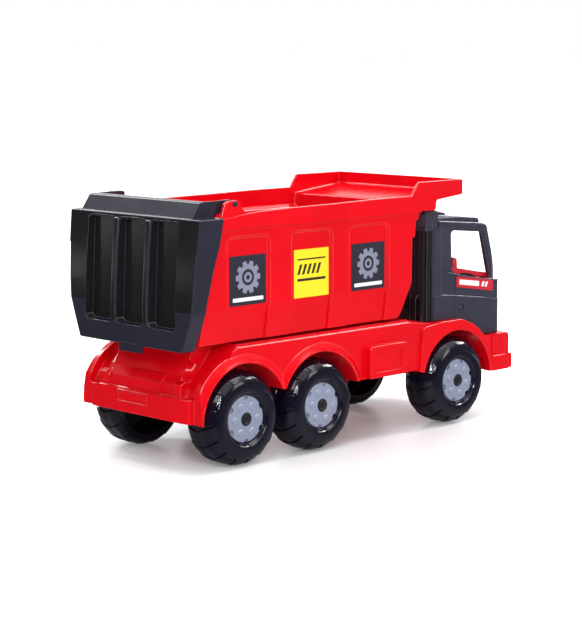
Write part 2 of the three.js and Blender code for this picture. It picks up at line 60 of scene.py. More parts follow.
# ---------------------------------------------------------------- outlines
def rounded(pts, step=8.0, segs=None):
    """Polygon with rounded corners; each entry is (u, v) or (u, v, radius)."""
    out, n = [], len(pts)
    for i in range(n):
        p = Vector(pts[i][:2])
        r = pts[i][2] if len(pts[i]) > 2 else 0
        if not r:
            out.append((p.x, p.y))
            continue
        a, b = Vector(pts[i - 1][:2]) - p, Vector(pts[(i + 1) % n][:2]) - p
        la, lb = a.length, b.length
        a, b = a / la, b / lb
        half = math.acos(max(-1.0, min(1.0, a.dot(b)))) / 2
        if half > math.radians(89.7):
            if segs:
                t = min(0.5, la * 0.3, lb * 0.3)
                out += [tuple(p + a * t + (b - a) * t * j / segs) for j in range(segs + 1)]
            else:
                out.append((p.x, p.y))
            continue
        t = min(r / math.tan(half), la * 0.49, lb * 0.49)
        rr = t * math.tan(half)
        c = p + (a + b).normalized() * (rr / math.sin(half))
        s, e = p + a * t - c, p + b * t - c
        a0 = math.atan2(s.y, s.x)
        d = math.atan2(e.y, e.x) - a0
        while d > math.pi:
            d -= 2 * math.pi
        while d < -math.pi:
            d += 2 * math.pi
        k = segs or max(2, math.ceil(abs(math.degrees(d)) / step))
        for j in range(k + 1):
            w = a0 + d * j / k
            out.append((c.x + rr * math.cos(w), c.y + rr * math.sin(w)))
    return out


def rect(u0, u1, v0, v1, r=0.0):
    return [(u0, v0, r), (u1, v0, r), (u1, v1, r), (u0, v1, r)]


def symmetric(half):
    return list(half) + [(-p[0],) + tuple(p[1:]) for p in reversed(half)]


def span(s, a, b):
    return (-b, -a) if s < 0 else (a, b)


# ---------------------------------------------------------------- solids
def solid(verts, faces):
    me = bpy.data.meshes.new("work")
    me.from_pydata([tuple(v) for v in verts], [], faces)
    bm = bmesh.new()
    bm.from_mesh(me)
    bmesh.ops.recalc_face_normals(bm, faces=bm.faces)
    bm.to_mesh(me)
    bm.free()
    for _ in range(WEAR_HIGHLIGHT_EDGE + 1):
        me.materials.append(None)
    ob = bpy.data.objects.new("work", me)
    scene.collection.objects.link(ob)
    return ob


def sweep(pts, d0, d1, place, step=8.0):
    out = rounded(pts, step)
    n = len(out)
    verts = [place(u, v, d0) for u, v in out] + [place(u, v, d1) for u, v in out]
    faces = [tuple(range(n)), tuple(range(2 * n - 1, n - 1, -1))]
    faces += [(i, (i + 1) % n, n + (i + 1) % n, n + i) for i in range(n)]
    return solid(verts, faces)


def side(pts, y0, y1, step=8.0):
    return sweep(pts, y0, y1, lambda u, v, d: (u, d, v), step)


def section(pts, x0, x1, step=8.0):
    return sweep(pts, x0, x1, lambda u, v, d: (d, u, v), step)


def plan(pts, z0, z1, step=8.0):
    return sweep(pts, z0, z1, lambda u, v, d: (u, v, d), step)


def block(x0, x1, y0, y1, z0, z1):
    return side(rect(x0, x1, z0, z1), y0, y1)


def loft(stations, segs=4, axis="y"):
    """Solid between outlines of equal length; each station is (distance, outline)."""
    rows = [rounded(pts, segs=segs) for _, pts in stations]
    n = len(rows[0])
    assert all(len(r) == n for r in rows), [len(r) for r in rows]
    verts = []
    for (d, _), row in zip(stations, rows):
        verts += [(u, d, v) if axis == "y" else (d, u, v) if axis == "x" else (u, v, d) for u, v in row]
    faces = [tuple(range(n)), tuple(range((len(rows) - 1) * n, len(rows) * n))]
    for s in range(len(rows) - 1):
        for i in range(n):
            j = (i + 1) % n
            faces.append((s * n + i, s * n + j, (s + 1) * n + j, (s + 1) * n + i))
    return solid(verts, faces)


def turned(profile, x, z, s=1, segs=64):
    """Ring or disc about an axis along Y; profile is (radius, |y|) and closed on itself or on the axis."""
    rows, verts, faces = [], [], []
    for r, y in profile:
        if r < 1e-6:
            rows.append([len(verts)])
            verts.append((x, s * y, z))
        else:
            rows.append(list(range(len(verts), len(verts) + segs)))
            for k in range(segs):
                a = 2 * math.pi * (k + 0.5) / segs
                verts.append((x + r * math.cos(a), s * y, z + r * math.sin(a)))
    on_axis = profile[0][0] < 1e-6
    pairs = list(zip(rows, rows[1:])) + ([] if on_axis else [(rows[-1], rows[0])])
    for a, b in pairs:
        if len(a) == 1 and len(b) == 1:
            continue
        for k in range(segs):
            m = (k + 1) % segs
            if len(a) == 1:
                faces.append((a[0], b[m], b[k]))
            elif len(b) == 1:
                faces.append((a[k], a[m], b[0]))
            else:
                faces.append((a[k], a[m], b[m], b[k]))
    return solid(verts, faces)


def rod(x, z, r, y0, y1, segs=40, chamfer=0.0):
    c = chamfer
    pts = [(0, y0), (r - c, y0), (r, y0 + c), (r, y1 - c), (r - c, y1), (0, y1)] if c else [(0, y0), (r, y0), (r, y1), (0, y1)]
    return turned(pts, x, z, 1, segs)


def moved(ob, matrix):
    ob.data.transform(matrix)
    return ob


def mirrored(ob):
    """The same solid on the other side, y to -y."""
    me = ob.data.copy()
    me.transform(Matrix.Diagonal((1, -1, 1, 1)))
    me.flip_normals()
    twin = bpy.data.objects.new("work", me)
    scene.collection.objects.link(twin)
    return twin


def both(ob):
    return [ob, mirrored(ob)]


def drop(ob):
    me = ob.data
    bpy.data.objects.remove(ob)
    bpy.data.meshes.remove(me)


def bake(ob):
    dg = bpy.context.evaluated_depsgraph_get()
    dg.update()
    me = bpy.data.meshes.new_from_object(ob.evaluated_get(dg))
    ob.modifiers.clear()
    old = ob.data
    ob.data = me
    bpy.data.meshes.remove(old)
    return ob


def flat(items):
    out = []
    for i in items:
        out += flat(i) if isinstance(i, (list, tuple)) else [i]
    return out


def volume(me):
    bm = bmesh.new()
    bm.from_mesh(me)
    v = bm.calc_volume()
    bm.free()
    return v


def boolean(a, operation, *others):
    """Joins or cuts one solid at a time and checks each result by its volume."""
    for b in flat(others):
        va, vb = volume(a.data), volume(b.data)
        before = a.data.copy()
        for solver, shift in (("MANIFOLD", 0), ("EXACT", 0), ("EXACT", 0.003), ("EXACT", -0.004)):
            if shift:
                b.data.transform(Matrix.Translation((shift, shift * 0.7, shift * 1.3)))
            m = a.modifiers.new("cut", "BOOLEAN")
            m.operation, m.solver, m.object = operation, solver, b
            bake(a)
            v = volume(a.data)
            e = 1 + 1e-4 * va
            lo, hi = {"UNION": (max(va, vb) - e, va + vb + e), "DIFFERENCE": (va - vb - e, va + e),
                      "INTERSECT": (0.01, min(va, vb) + e)}[operation]
            if lo <= v <= hi and len(a.data.polygons) > 3:
                break
            print("boolean retry", operation, solver, round(va), round(vb), round(v))
            old, a.data = a.data, before.copy()
            bpy.data.meshes.remove(old)
        else:
            print("boolean FAILED", operation)
        bpy.data.meshes.remove(before)
        drop(b)
    return a


def join(a, *others):
    return boolean(a, "UNION", *others)


def cut(a, *others):
    return boolean(a, "DIFFERENCE", *others)


def keep(a, *others):
    return boolean(a, "INTERSECT", *others)


def heap(a, *others):
    """Puts closed solids in one mesh without joining them."""
    bm = bmesh.new()
    bm.from_mesh(a.data)
    for b in flat(others):
        bm.from_mesh(b.data)
        drop(b)
    bm.to_mesh(a.data)
    bm.free()
    return a


def tidy(ob, angle=0.5):
    bm = bmesh.new()
    bm.from_mesh(ob.data)
    bmesh.ops.remove_doubles(bm, verts=bm.verts, dist=0.012)
    bmesh.ops.dissolve_degenerate(bm, edges=bm.edges, dist=0.008)
    bmesh.ops.dissolve_limit(bm, angle_limit=math.radians(angle), verts=bm.verts, edges=bm.edges, delimit={"MATERIAL"})
    bm.to_mesh(ob.data)
    bm.free()
    return ob


def tangles(me):
    """Points where a face is folded or its outline crosses itself."""
    out = []
    me.calc_loop_triangles()
    nt, np_ = len(me.loop_triangles), len(me.polygons)
    tri = np.empty(nt * 3, np.int32)
    me.loop_triangles.foreach_get("vertices", tri)
    pol = np.empty(nt, np.int32)
    me.loop_triangles.foreach_get("polygon_index", pol)
    co = np.empty(len(me.vertices) * 3, np.float32)
    me.vertices.foreach_get("co", co)
    co = co.reshape(-1, 3).astype(float)
    nrm = np.empty(np_ * 3, np.float32)
    me.polygons.foreach_get("normal", nrm)
    nrm = nrm.reshape(-1, 3)
    t = co[tri.reshape(-1, 3)]
    area = np.einsum("ij,ij->i", np.cross(t[:, 1] - t[:, 0], t[:, 2] - t[:, 0]), nrm[pol])
    crossed = set()
    for p in me.polygons:
        n = p.loop_total
        if n < 5:
            continue
        q3 = co[list(p.vertices)]
        w = np.array(p.normal, float)
        u = np.cross(w, (0.0, 0.0, 1.0) if abs(w[2]) < 0.9 else (1.0, 0.0, 0.0))
        u /= np.linalg.norm(u)
        v = np.cross(w, u)
        q = np.stack([q3 @ u, q3 @ v], 1)
        r = np.roll(q, -1, 0)

        def side_of(a, b, c):
            return (b[:, None, 0] - a[:, None, 0]) * (c[None, :, 1] - a[:, None, 1]) - (b[:, None, 1] - a[:, None, 1]) * (c[None, :, 0] - a[:, None, 0])

        s1, s2 = side_of(q, r, q), side_of(q, r, r)
        hit = (s1 * s2 < -1e-9) & ((s1 * s2).T < -1e-9)
        for a, b in zip(*np.nonzero(hit)):
            if a < b:
                f = s1[b, a] / (s1[b, a] - s2[b, a])
                out.append(Vector(q3[a] + (q3[(a + 1) % n] - q3[a]) * f))
                crossed.add(p.index)
    for k in np.nonzero(area < -1e-3)[0]:
        if pol[k] not in crossed:
            out += [Vector(p) for p in t[k]]
    return out


def soften(ob, width=0.8, angle=24.0, segs=3):
    """Rounds the edges of a moulding; where there is no room for the round it is made smaller."""
    tidy(ob)
    source = ob.data
    bm = bmesh.new()
    bm.from_mesh(source)
    weights = {}
    for e in bm.edges:
        if len(e.link_faces) == 2 and e.calc_face_angle(0) > math.radians(angle):
            weights[e.index] = 1.0
    mids = {i: (bm.edges[i].verts[0].co.copy(), bm.edges[i].verts[1].co.copy()) for i in weights} if not bm.edges.ensure_lookup_table() else {}
    tri = bm.copy()
    bmesh.ops.triangulate(tri, faces=tri.faces)
    tree = BVHTree.FromBMesh(tri)
    tri.free()
    bm.free()
    best = None
    for attempt in range(18):
        me = source.copy()
        att = me.attributes.get("bevel_weight_edge") or me.attributes.new("bevel_weight_edge", "FLOAT", "EDGE")
        vals = [0.0] * len(me.edges)
        for i, w in weights.items():
            vals[i] = w
        att.data.foreach_set("value", vals)
        ob.data = me
        m = ob.modifiers.new("edge", "BEVEL")
        m.width, m.segments, m.limit_method = width, segs, "WEIGHT"
        m.material = WEAR_HIGHLIGHT_EDGE
        m.use_clamp_overlap, m.harden_normals, m.loop_slide, m.miter_outer = False, False, True, "MITER_SHARP"
        bake(ob)
        for v in ob.data.vertices:
            at, _, _, dist = tree.find_nearest(v.co)
            if at is not None and dist > width * 0.75:
                v.co = at
        bad = tangles(ob.data)
        if best is None or len(bad) < best[0]:
            if best is not None:
                bpy.data.meshes.remove(best[1])
            best = (len(bad), ob.data.copy())
        if not bad or attempt == 17:
            break
        grid = {}
        for p in bad:
            grid.setdefault((round(p.x / 6), round(p.y / 6), round(p.z / 6)), []).append(p)
        shrunk = 0
        for i, (a, b) in mids.items():
            if weights[i] <= 0:
                continue
            lo = [min(a[k], b[k]) - 2.5 * width for k in range(3)]
            hi = [max(a[k], b[k]) + 2.5 * width for k in range(3)]
            near = False
            for gx in range(round(lo[0] / 6), round(hi[0] / 6) + 1):
                for gy in range(round(lo[1] / 6), round(hi[1] / 6) + 1):
                    for gz in range(round(lo[2] / 6), round(hi[2] / 6) + 1):
                        for p in grid.get((gx, gy, gz), ()):
                            d = b - a
                            t = max(0.0, min(1.0, (p - a).dot(d) / max(d.length_squared, 1e-9)))
                            if (a + d * t - p).length < 1.25 * width:
                                near = True
                                break
                        if near:
                            break
                    if near:
                        break
                if near:
                    break
            if near:
                weights[i] = weights[i] * 0.6 if weights[i] > 0.2 else (weights[i] * 0.75 if attempt < 10 else 0.0)
                shrunk += 1
        if not shrunk:
            break
    last = ob.data
    ob.data = best[1]
    bpy.data.meshes.remove(last)
    bpy.data.meshes.remove(source)
    a = ob.data.attributes.get("bevel_weight_edge")
    if a:
        ob.data.attributes.remove(a)
    print("softened", ob.name, "width", width, "attempts", attempt + 1, "tangles left", best[0], "full", sum(1 for w in weights.values() if w == 1), "none", sum(1 for w in weights.values() if w == 0), "of", len(weights), "mean", round(sum(weights.values()) / max(1, len(weights)), 2))
    return ob


def paint_faces(ob, index, test):
    """Gives a material to the faces whose every corner passes the test."""
    me = ob.data
    for p in me.polygons:
        if p.material_index != WEAR_HIGHLIGHT_EDGE and all(test(me.vertices[v].co, p.normal) for v in p.vertices):
            p.material_index = index


def piece(ob, name, body, mats, nodes, smooth=38.0):
    ob.name = name
    ob.data.name = name
    ob.data.transform(Matrix.Scale(0.001, 4) @ Matrix.Translation((-X0, 0, 0)))
    old = [p.material_index for p in ob.data.polygons]
    # rounded-edge faces are marked for rubbed wear and a painted highlight
    rub = ob.data.attributes.new("rub", "FLOAT", "FACE")
    rub.data.foreach_set("value", [1.0 if i == WEAR_HIGHLIGHT_EDGE else 0.0 for i in old])
    old = [0 if i == WEAR_HIGHLIGHT_EDGE else i for i in old]
    ob.data.materials.clear()
    for m in mats:
        ob.data.materials.append(m)
    for p, i in zip(ob.data.polygons, old):
        p.material_index = min(i, len(mats) - 1)
        p.use_smooth = True
    ob.data.set_sharp_from_angle(angle=math.radians(smooth))
    w = ob.modifiers.new("normals", "WEIGHTED_NORMAL")
    w.keep_sharp, w.weight = True, 60
    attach(ob, body)
    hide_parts(*nodes)
    return ob


# ---------------------------------------------------------------- materials
def rgb(r, g, b):
    return tuple(((c / 255 + 0.055) / 1.055) ** 2.4 if c > 10 else c / 255 / 12.92 for c in (r, g, b)) + (1.0,)


def plastic(name, colour, rough=0.3, coat=0.0, grain=0.05, peel=0.06, wear_and_highlight=0.25, wear_and_highlight_colour=None, metal=0.0,
            spread=0.06, spec=0.5, sss=0.0, scale=1.0, fine_bump=0.07, edge_coat=0.9):
    """Moulded plastic: slow colour drift, moulding grain and faint flow lines, rubbed edges carrying a painted
    highlight, uneven gloss.
    """
    mat = bpy.data.materials.new(name)
    mat.use_nodes = True
    nt = mat.node_tree
    nt.nodes.clear()
    new = nt.nodes.new
    link = nt.links.new
    out = new("ShaderNodeOutputMaterial")
    b = new("ShaderNodeBsdfPrincipled")
    link(b.outputs[0], out.inputs[0])
    b.inputs["Metallic"].default_value = metal
    b.inputs["Specular IOR Level"].default_value = spec
    b.inputs["Coat Weight"].default_value = coat
    b.inputs["Coat Roughness"].default_value = 0.12
    if sss:
        b.inputs["Subsurface Weight"].default_value = sss
        b.inputs["Subsurface Radius"].default_value = (0.004, 0.0012, 0.0008)
        b.inputs["Subsurface Scale"].default_value = 0.5
    tc = new("ShaderNodeTexCoord")

    def noise(s, detail=2.0, stretch=None):
        n = new("ShaderNodeTexNoise")
        n.inputs["Scale"].default_value = s
        n.inputs["Detail"].default_value = detail
        if stretch:
            mp = new("ShaderNodeMapping")
            mp.inputs["Scale"].default_value = stretch
            link(tc.outputs["Object"], mp.inputs[0])
            link(mp.outputs[0], n.inputs["Vector"])
        else:
            link(tc.outputs["Object"], n.inputs["Vector"])
        return n.outputs["Fac"]

    def remap(v, a, c, lo, hi):
        m = new("ShaderNodeMapRange")
        m.inputs[1].default_value, m.inputs[2].default_value = a, c
        m.inputs[3].default_value, m.inputs[4].default_value = lo, hi
        link(v, m.inputs[0])
        return m.outputs[0]

    def mix(f, a, c):
        m = new("ShaderNodeMix")
        m.data_type = "RGBA"
        link(f, m.inputs[0])
        for sock, val in ((m.inputs[6], a), (m.inputs[7], c)):
            if isinstance(val, tuple):
                sock.default_value = val
            else:
                link(val, sock)
        return m.outputs[2]

    def math_(op, a, c):
        m = new("ShaderNodeMath")
        m.operation = op
        for sock, val in ((m.inputs[0], a), (m.inputs[1], c)):
            if isinstance(val, (int, float)):
                sock.default_value = val
            else:
                link(val, sock)
        return m.outputs[0]

    dark = tuple(c * (1 - spread) for c in colour[:3]) + (1.0,)
    lite = tuple(min(1.0, c * (1 + spread)) for c in colour[:3]) + (1.0,)
    col = mix(remap(noise(14 * scale, 3), 0.35, 0.65, 0, 1), dark, lite)
    # rubbed edges: a lighter colour on the rounded faces, as wear and as a painted highlight
    attr = new("ShaderNodeAttribute")
    attr.attribute_name = "rub"
    worn_and_lit = math_("MULTIPLY", attr.outputs["Fac"], remap(noise(90 * scale, 4), 0.38, 0.62, 0.25, 1))
    worn_and_lit = math_("MULTIPLY", worn_and_lit, wear_and_highlight)
    geo = new("ShaderNodeNewGeometry")
    sepn = new("ShaderNodeSeparateXYZ")
    link(geo.outputs["Normal"], sepn.inputs[0])
    # upward-facing edges get more of the lighter colour: a painted highlight where the overhead light falls
    worn_and_lit = math_("MULTIPLY", worn_and_lit, remap(sepn.outputs["Z"], -0.1, 0.8, 0.3, 1.9))
    if not coat and not metal:
        link(math_("MULTIPLY", attr.outputs["Fac"], remap(sepn.outputs["Z"], -0.05, 0.5, edge_coat * 0.4, edge_coat)), b.inputs["Coat Weight"])
        b.inputs["Coat IOR"].default_value = 1.9
        b.inputs["Coat Roughness"].default_value = 0.2
    wc = wear_and_highlight_colour or tuple(min(1.0, c * 1.6 + 0.05) for c in colour[:3]) + (1.0,)
    col = mix(worn_and_lit, col, wc)
    link(col, b.inputs["Base Color"])
    # gloss: uneven, with hairline handling marks
    r1 = remap(noise(45 * scale, 4), 0.3, 0.7, rough - grain, rough + grain)
    hair = remap(noise(30, 6, (1.0, 14.0, 3.0)), 0.62, 0.74, 0, 0.03)
    link(math_("ADD", math_("ADD", r1, hair), math_("MULTIPLY", worn_and_lit, 0.15)), b.inputs["Roughness"])
    # surface: fine moulding texture over a slow ripple
    fine = noise(1500 * scale, 2)
    slow = noise(70 * scale, 1)
    h = math_("ADD", math_("MULTIPLY", fine, fine_bump), math_("MULTIPLY", slow, 1.0))
    bump = new("ShaderNodeBump")
    bump.inputs["Strength"].default_value = peel
    bump.inputs["Distance"].default_value = 0.0012
    link(h, bump.inputs["Height"])
    link(bump.outputs[0], b.inputs["Normal"])
    return mat


# the lighter edge colours below stand for rubbed wear and for a painted highlight on rounded edges
RED = plastic("red_moulded_plastic", (0.74, 0.0012, 0.0075, 1), rough=0.17, grain=0.03, wear_and_highlight=0.24,
              wear_and_highlight_colour=(1.0, 0.13, 0.14, 1), peel=0.025, spread=0.05, spec=0.32)
RED_IN = plastic("red_cab_interior", (0.76, 0.012, 0.035, 1), rough=0.34, wear_and_highlight=0.3,
                 wear_and_highlight_colour=(1.0, 0.25, 0.28, 1), peel=0.04)
GRAPHITE = plastic("graphite_moulded_plastic", rgb(54, 54, 68), rough=0.22, grain=0.03, wear_and_highlight=0.3,
                   wear_and_highlight_colour=rgb(128, 132, 152), peel=0.03, spec=0.5, fine_bump=0.0)
GATE = plastic("graphite_tailgate_plastic", rgb(40, 40, 52), rough=0.19, grain=0.03, wear_and_highlight=0.14,
               wear_and_highlight_colour=rgb(110, 114, 134), peel=0.03, spec=0.5, fine_bump=0.0, edge_coat=0.3)
# darker, browner copy of the tailgate graphite, laid on recesses and hollows as painted shade and dark reflection
PAINTED_SHADE_GRAPHITE = plastic("graphite_polished_panels", rgb(30, 27, 27), rough=0.13, grain=0.015, wear_and_highlight=0.3,
                  wear_and_highlight_colour=rgb(84, 84, 94), peel=0.01, fine_bump=0.0, edge_coat=0.6)
BLACK = plastic("black_tyre_plastic", rgb(14, 13, 28), rough=0.085, grain=0.015, wear_and_highlight=0.0, wear_and_highlight_colour=rgb(60, 62, 72), peel=0.02,
                fine_bump=0.0)
CAP = plastic("black_cap_plastic", rgb(24, 25, 30), rough=0.32, wear_and_highlight=0.4, wear_and_highlight_colour=rgb(110, 112, 122))
GREY = plastic("grey_hub_plastic", rgb(140, 147, 170), rough=0.36, wear_and_highlight=0.4, wear_and_highlight_colour=rgb(214, 220, 234), peel=0.04)
STEEL = plastic("zinc_steel", (0.56, 0.57, 0.59, 1), rough=0.28, metal=1.0, wear_and_highlight=0.3, wear_and_highlight_colour=(0.8, 0.8, 0.8, 1),
                spread=0.1, peel=0.04)
INK_DARK = plastic("label_dark", rgb(42, 41, 54), rough=0.38, wear_and_highlight=0.1, peel=0.02, spread=0.03)
INK_YELLOW = plastic("label_yellow", rgb(252, 226, 24), rough=0.38, wear_and_highlight=0.1, wear_and_highlight_colour=rgb(255, 240, 150), peel=0.02, spread=0.02)
INK_RED = plastic("label_red", rgb(205, 22, 42), rough=0.38, wear_and_highlight=0.1, peel=0.02, spread=0.03)
INK_GREY = plastic("label_print_grey", rgb(134, 138, 158), rough=0.42, wear_and_highlight=0.0, peel=0.02, spread=0.04)
INK_WHITE = plastic("label_print_white", rgb(244, 244, 247), rough=0.42, wear_and_highlight=0.0, peel=0.02, spread=0.01)
INK_BLACK = plastic("label_print_black", rgb(44, 40, 30), rough=0.42, wear_and_highlight=0.0, peel=0.02, spread=0.03)


# ---------------------------------------------------------------- chassis
def chassis():
    nose = [(255, DECK_Z, 8), (290, 122, 8), (342, 121, 14), (360, 114, 18), (372, 106, 16), (384, 97.5, 3),
            (428, 97.5, 2), (431, 95.5, 2), (431.4, 72, 0.5), (437.4, 71, 1), (437.5, 54, 1), (398, 54, 1)]
    floor = [(398, 62, 1), (60, 62, 1), (-40, 56, 1)]
    floor_side = [(398, 70, 1), (60, 70, 1), (-40, 70, 1)]
    mid = [(-58, 52, 1), (-60, 76, 6), (-59, 87, 8), (-51, 97, 10), (-41.6, 115, 14), (-36, 128.5, 1.2), (-34, DECK_Z, 1)]
    sid = [(-59.5, 52, 1), (-57, 68, 20), (-50, 83.5, 24), (-41, 95, 24), (-29, 105.5, 24), (-16, 122, 10), (-8, DECK_Z - 3.5, 2)]
    sho = sid[:6] + [(-6, DECK_Z, 2)]
    middle = mid + nose + floor
    outer = sid + [(255, DECK_Z - 3.5, 8)] + nose[1:] + floor_side
    shoulder = sho + nose + floor_side
    body = loft([(-95, outer), (-93.6, [(p[0], p[1] + (1.6 if i in (6, 7) else 0), *p[2:]) for i, p in enumerate(outer)]),
                 (-90, shoulder), (-60.5, shoulder), (-57, middle), (57, middle), (60.5, shoulder), (90, shoulder),
                 (93.6, [(p[0], p[1] + (1.6 if i in (6, 7) else 0), *p[2:]) for i, p in enumerate(outer)]), (95, outer)])
    adds = []
    adds.append(plan([(-66, -70), (-64.2, -82, 6), (-52, -84), (-52, 84), (-64.2, 82, 6), (-66, 70)], 51, 76.4))
    adds.append(plan([(400, -96.2), (424, -96.2, 6), (431.5, -82, 14), (431.5, 82, 14), (424, 96.2, 6), (400, 96.2)], 54, 97.8))
    adds.append(plan([(400, -97.6), (430, -97.6, 6), (437.8, -82, 14), (437.8, 82, 14), (430, 97.6, 6), (400, 97.6)], 53.7, 71.6))
    # flared lips round the two rear wheels
    for _, x in AXLES[:2]:
        lip = turned([(57, 86), (57, 98.2), (58.4, 99.0), (60.6, 99.1), (63, 98.2), (66, 96.2), (69.5, 94.3), (69.5, 86)], x, AXLE_Z, 1, 120)
        keep(lip, side(rect(x - 61, x + 61, 51 if x == 0 else 70, 122), 80, 104))
        adds += both(lip)
    fender = side([(271, 68, 1), (276, 118.6, 5), (310, 122.2, 30), (343, 122.2, 20), (361.3, 115.2, 20), (373.6, 107.2, 16),
                   (389, 93, 20), (396, 75, 20), (400, 54.4, 1), (335, 54.4)], 88.6, LIP)
    adds += both(fender)
    adds += both(side([(184, 71), (184, 107, 4), (243, 107, 4), (243, 71)], 88, 103))
    # plates that carry the axles
    for _, x in AXLES:
        adds += both(side([(x - 12, 43, 5), (x + 12, 43, 5), (x + 26, 90), (x - 26, 90)], 50, 54.5))
    # moulded blocks above the rear bumper and the plate on it
    adds.append(side([(-61.6, 74), (-61.8, 88, 2), (-53.0, 97.5, 2), (-50, 97.5), (-50, 74)], -32, 21))
    adds.append(side([(-62.6, 74), (-62.8, 90.5, 2), (-56.5, 93, 1), (-50, 93), (-50, 74)], -67, -56))
    adds.append(side([(-62.6, 74), (-62.8, 90.5, 2), (-56.5, 93, 1), (-50, 93), (-50, 74)], 56, 67))
    adds.append(plan([(-66.9, -16), (-66.9, 33), (-60, 33), (-60, -16)], 61.5, 75))
    # web that closes the seam between the rear bumper and the wheel lips
    adds += both(block(-62, -56, 83, 87, 51.6, 76.2))
    join(body, adds)
    cuts = []
    cuts += both(side(rect(193, 235, 77, 101, 3), 102, 106))
    cuts.append(section(symmetric([(-14.6, 63), (-14.6, 73.5)])[:2] + [(31.6, 73.5), (31.6, 63)], -70, -66.2))
    for _, x in AXLES:
        cuts += both(rod(x, AXLE_Z, ARCH_R, 54.5, 120, 128))
    cuts += both(side([(36, 20), (36, 76, 9), (76, 76, 9), (76, 20)], 54.5, 120))
    hollow = [(-54, 30), (-55, 84), (-47, 97), (-37.5, 115), (-32.5, DECK_Z - 3), (254, DECK_Z - 3), (289, 119), (341, 118),
              (358, 111), (370, 103), (383, 94.5), (427, 94.5), (428, 30)]
    cuts.append(side(hollow, -50, 50))
    cuts += both(block(175, 268, 54.5, 92, 30, 124))
    cuts += both(block(401, 427, 49, 90, 30, 94))
    for _, x in AXLES:
        cuts.append(rod(x, AXLE_Z, 2.8, -60, 60, 32))
    # lamp pockets and the lower intake of the front bumper
    cuts += both(section([(54, 78, 3), (84, 78, 3), (84, 92, 3), (54, 92, 3)], 429, 445))
    cuts.append(section([(-40, 77, 2), (40, 77, 2), (40, 90, 2), (-40, 90, 2)], 428.8, 445))
    cuts.append(section([(-58, 58, 2), (58, 58, 2), (58, 67, 2), (-58, 67, 2)], 435.4, 445))
    cut(body, cuts)
    # lamps moulded in the pockets, bars across the intake
    more = []
    for y in (61.5, 76.5):
        lamp = turned([(0, 420), (5.6, 420), (5.6, 430.2), (4.4, 431.3), (0, 431.8)], 0, 0, 1, 40)
        moved(lamp, Matrix(((0, 1, 0, 0), (-1, 0, 0, y), (0, 0, 1, 85), (0, 0, 0, 1))))
        more += both(lamp)
    for z in (80.2, 85.2):
        more.append(block(420, 430.6, -41, 41, z, z + 1.8))
    ribs = both(side([(-41, 110), (-20, 110), (-20, DECK_Z - 1), (-41, DECK_Z - 1)], 39, 42))
    more += [keep(r, side([(-41.2, 100), (-41.2, 114), (-36, 127), (-20, 128.6), (-20, 100)], -50, 50)) for r in ribs]
    for x in (30, 225):
        more += both(block(x - 12, x + 12, 56, 64, DECK_Z - 2, BED_Z - 0.3))
    join(body, more)
    cut(body, rod(*BED_PIVOT, 2.3, -47, 47, 32), both(join(block(-39.6, -20, 27, 35, 111, 140), block(-60, -39, 27, 35, 119.1, 140))))
    soften(body, 0.75, 22, 3)
    return piece(body, "chassis_moulding", "chassis", [RED], ["chassis_shell"])


def rods():
    r = rod(*BED_PIVOT, 2.0, -46, 46, 48, 0.35)
    piece(r, "tipping_rod", "chassis", [STEEL], ["bed_hinge_rod"])
    for where, x in AXLES:
        r = rod(x, AXLE_Z, 2.5, -94.3, 94.3, 48, 0.4)
        piece(r, f"{where}_axle_steel", f"{where}_axle", [STEEL], [f"{where}_axle_rod"])


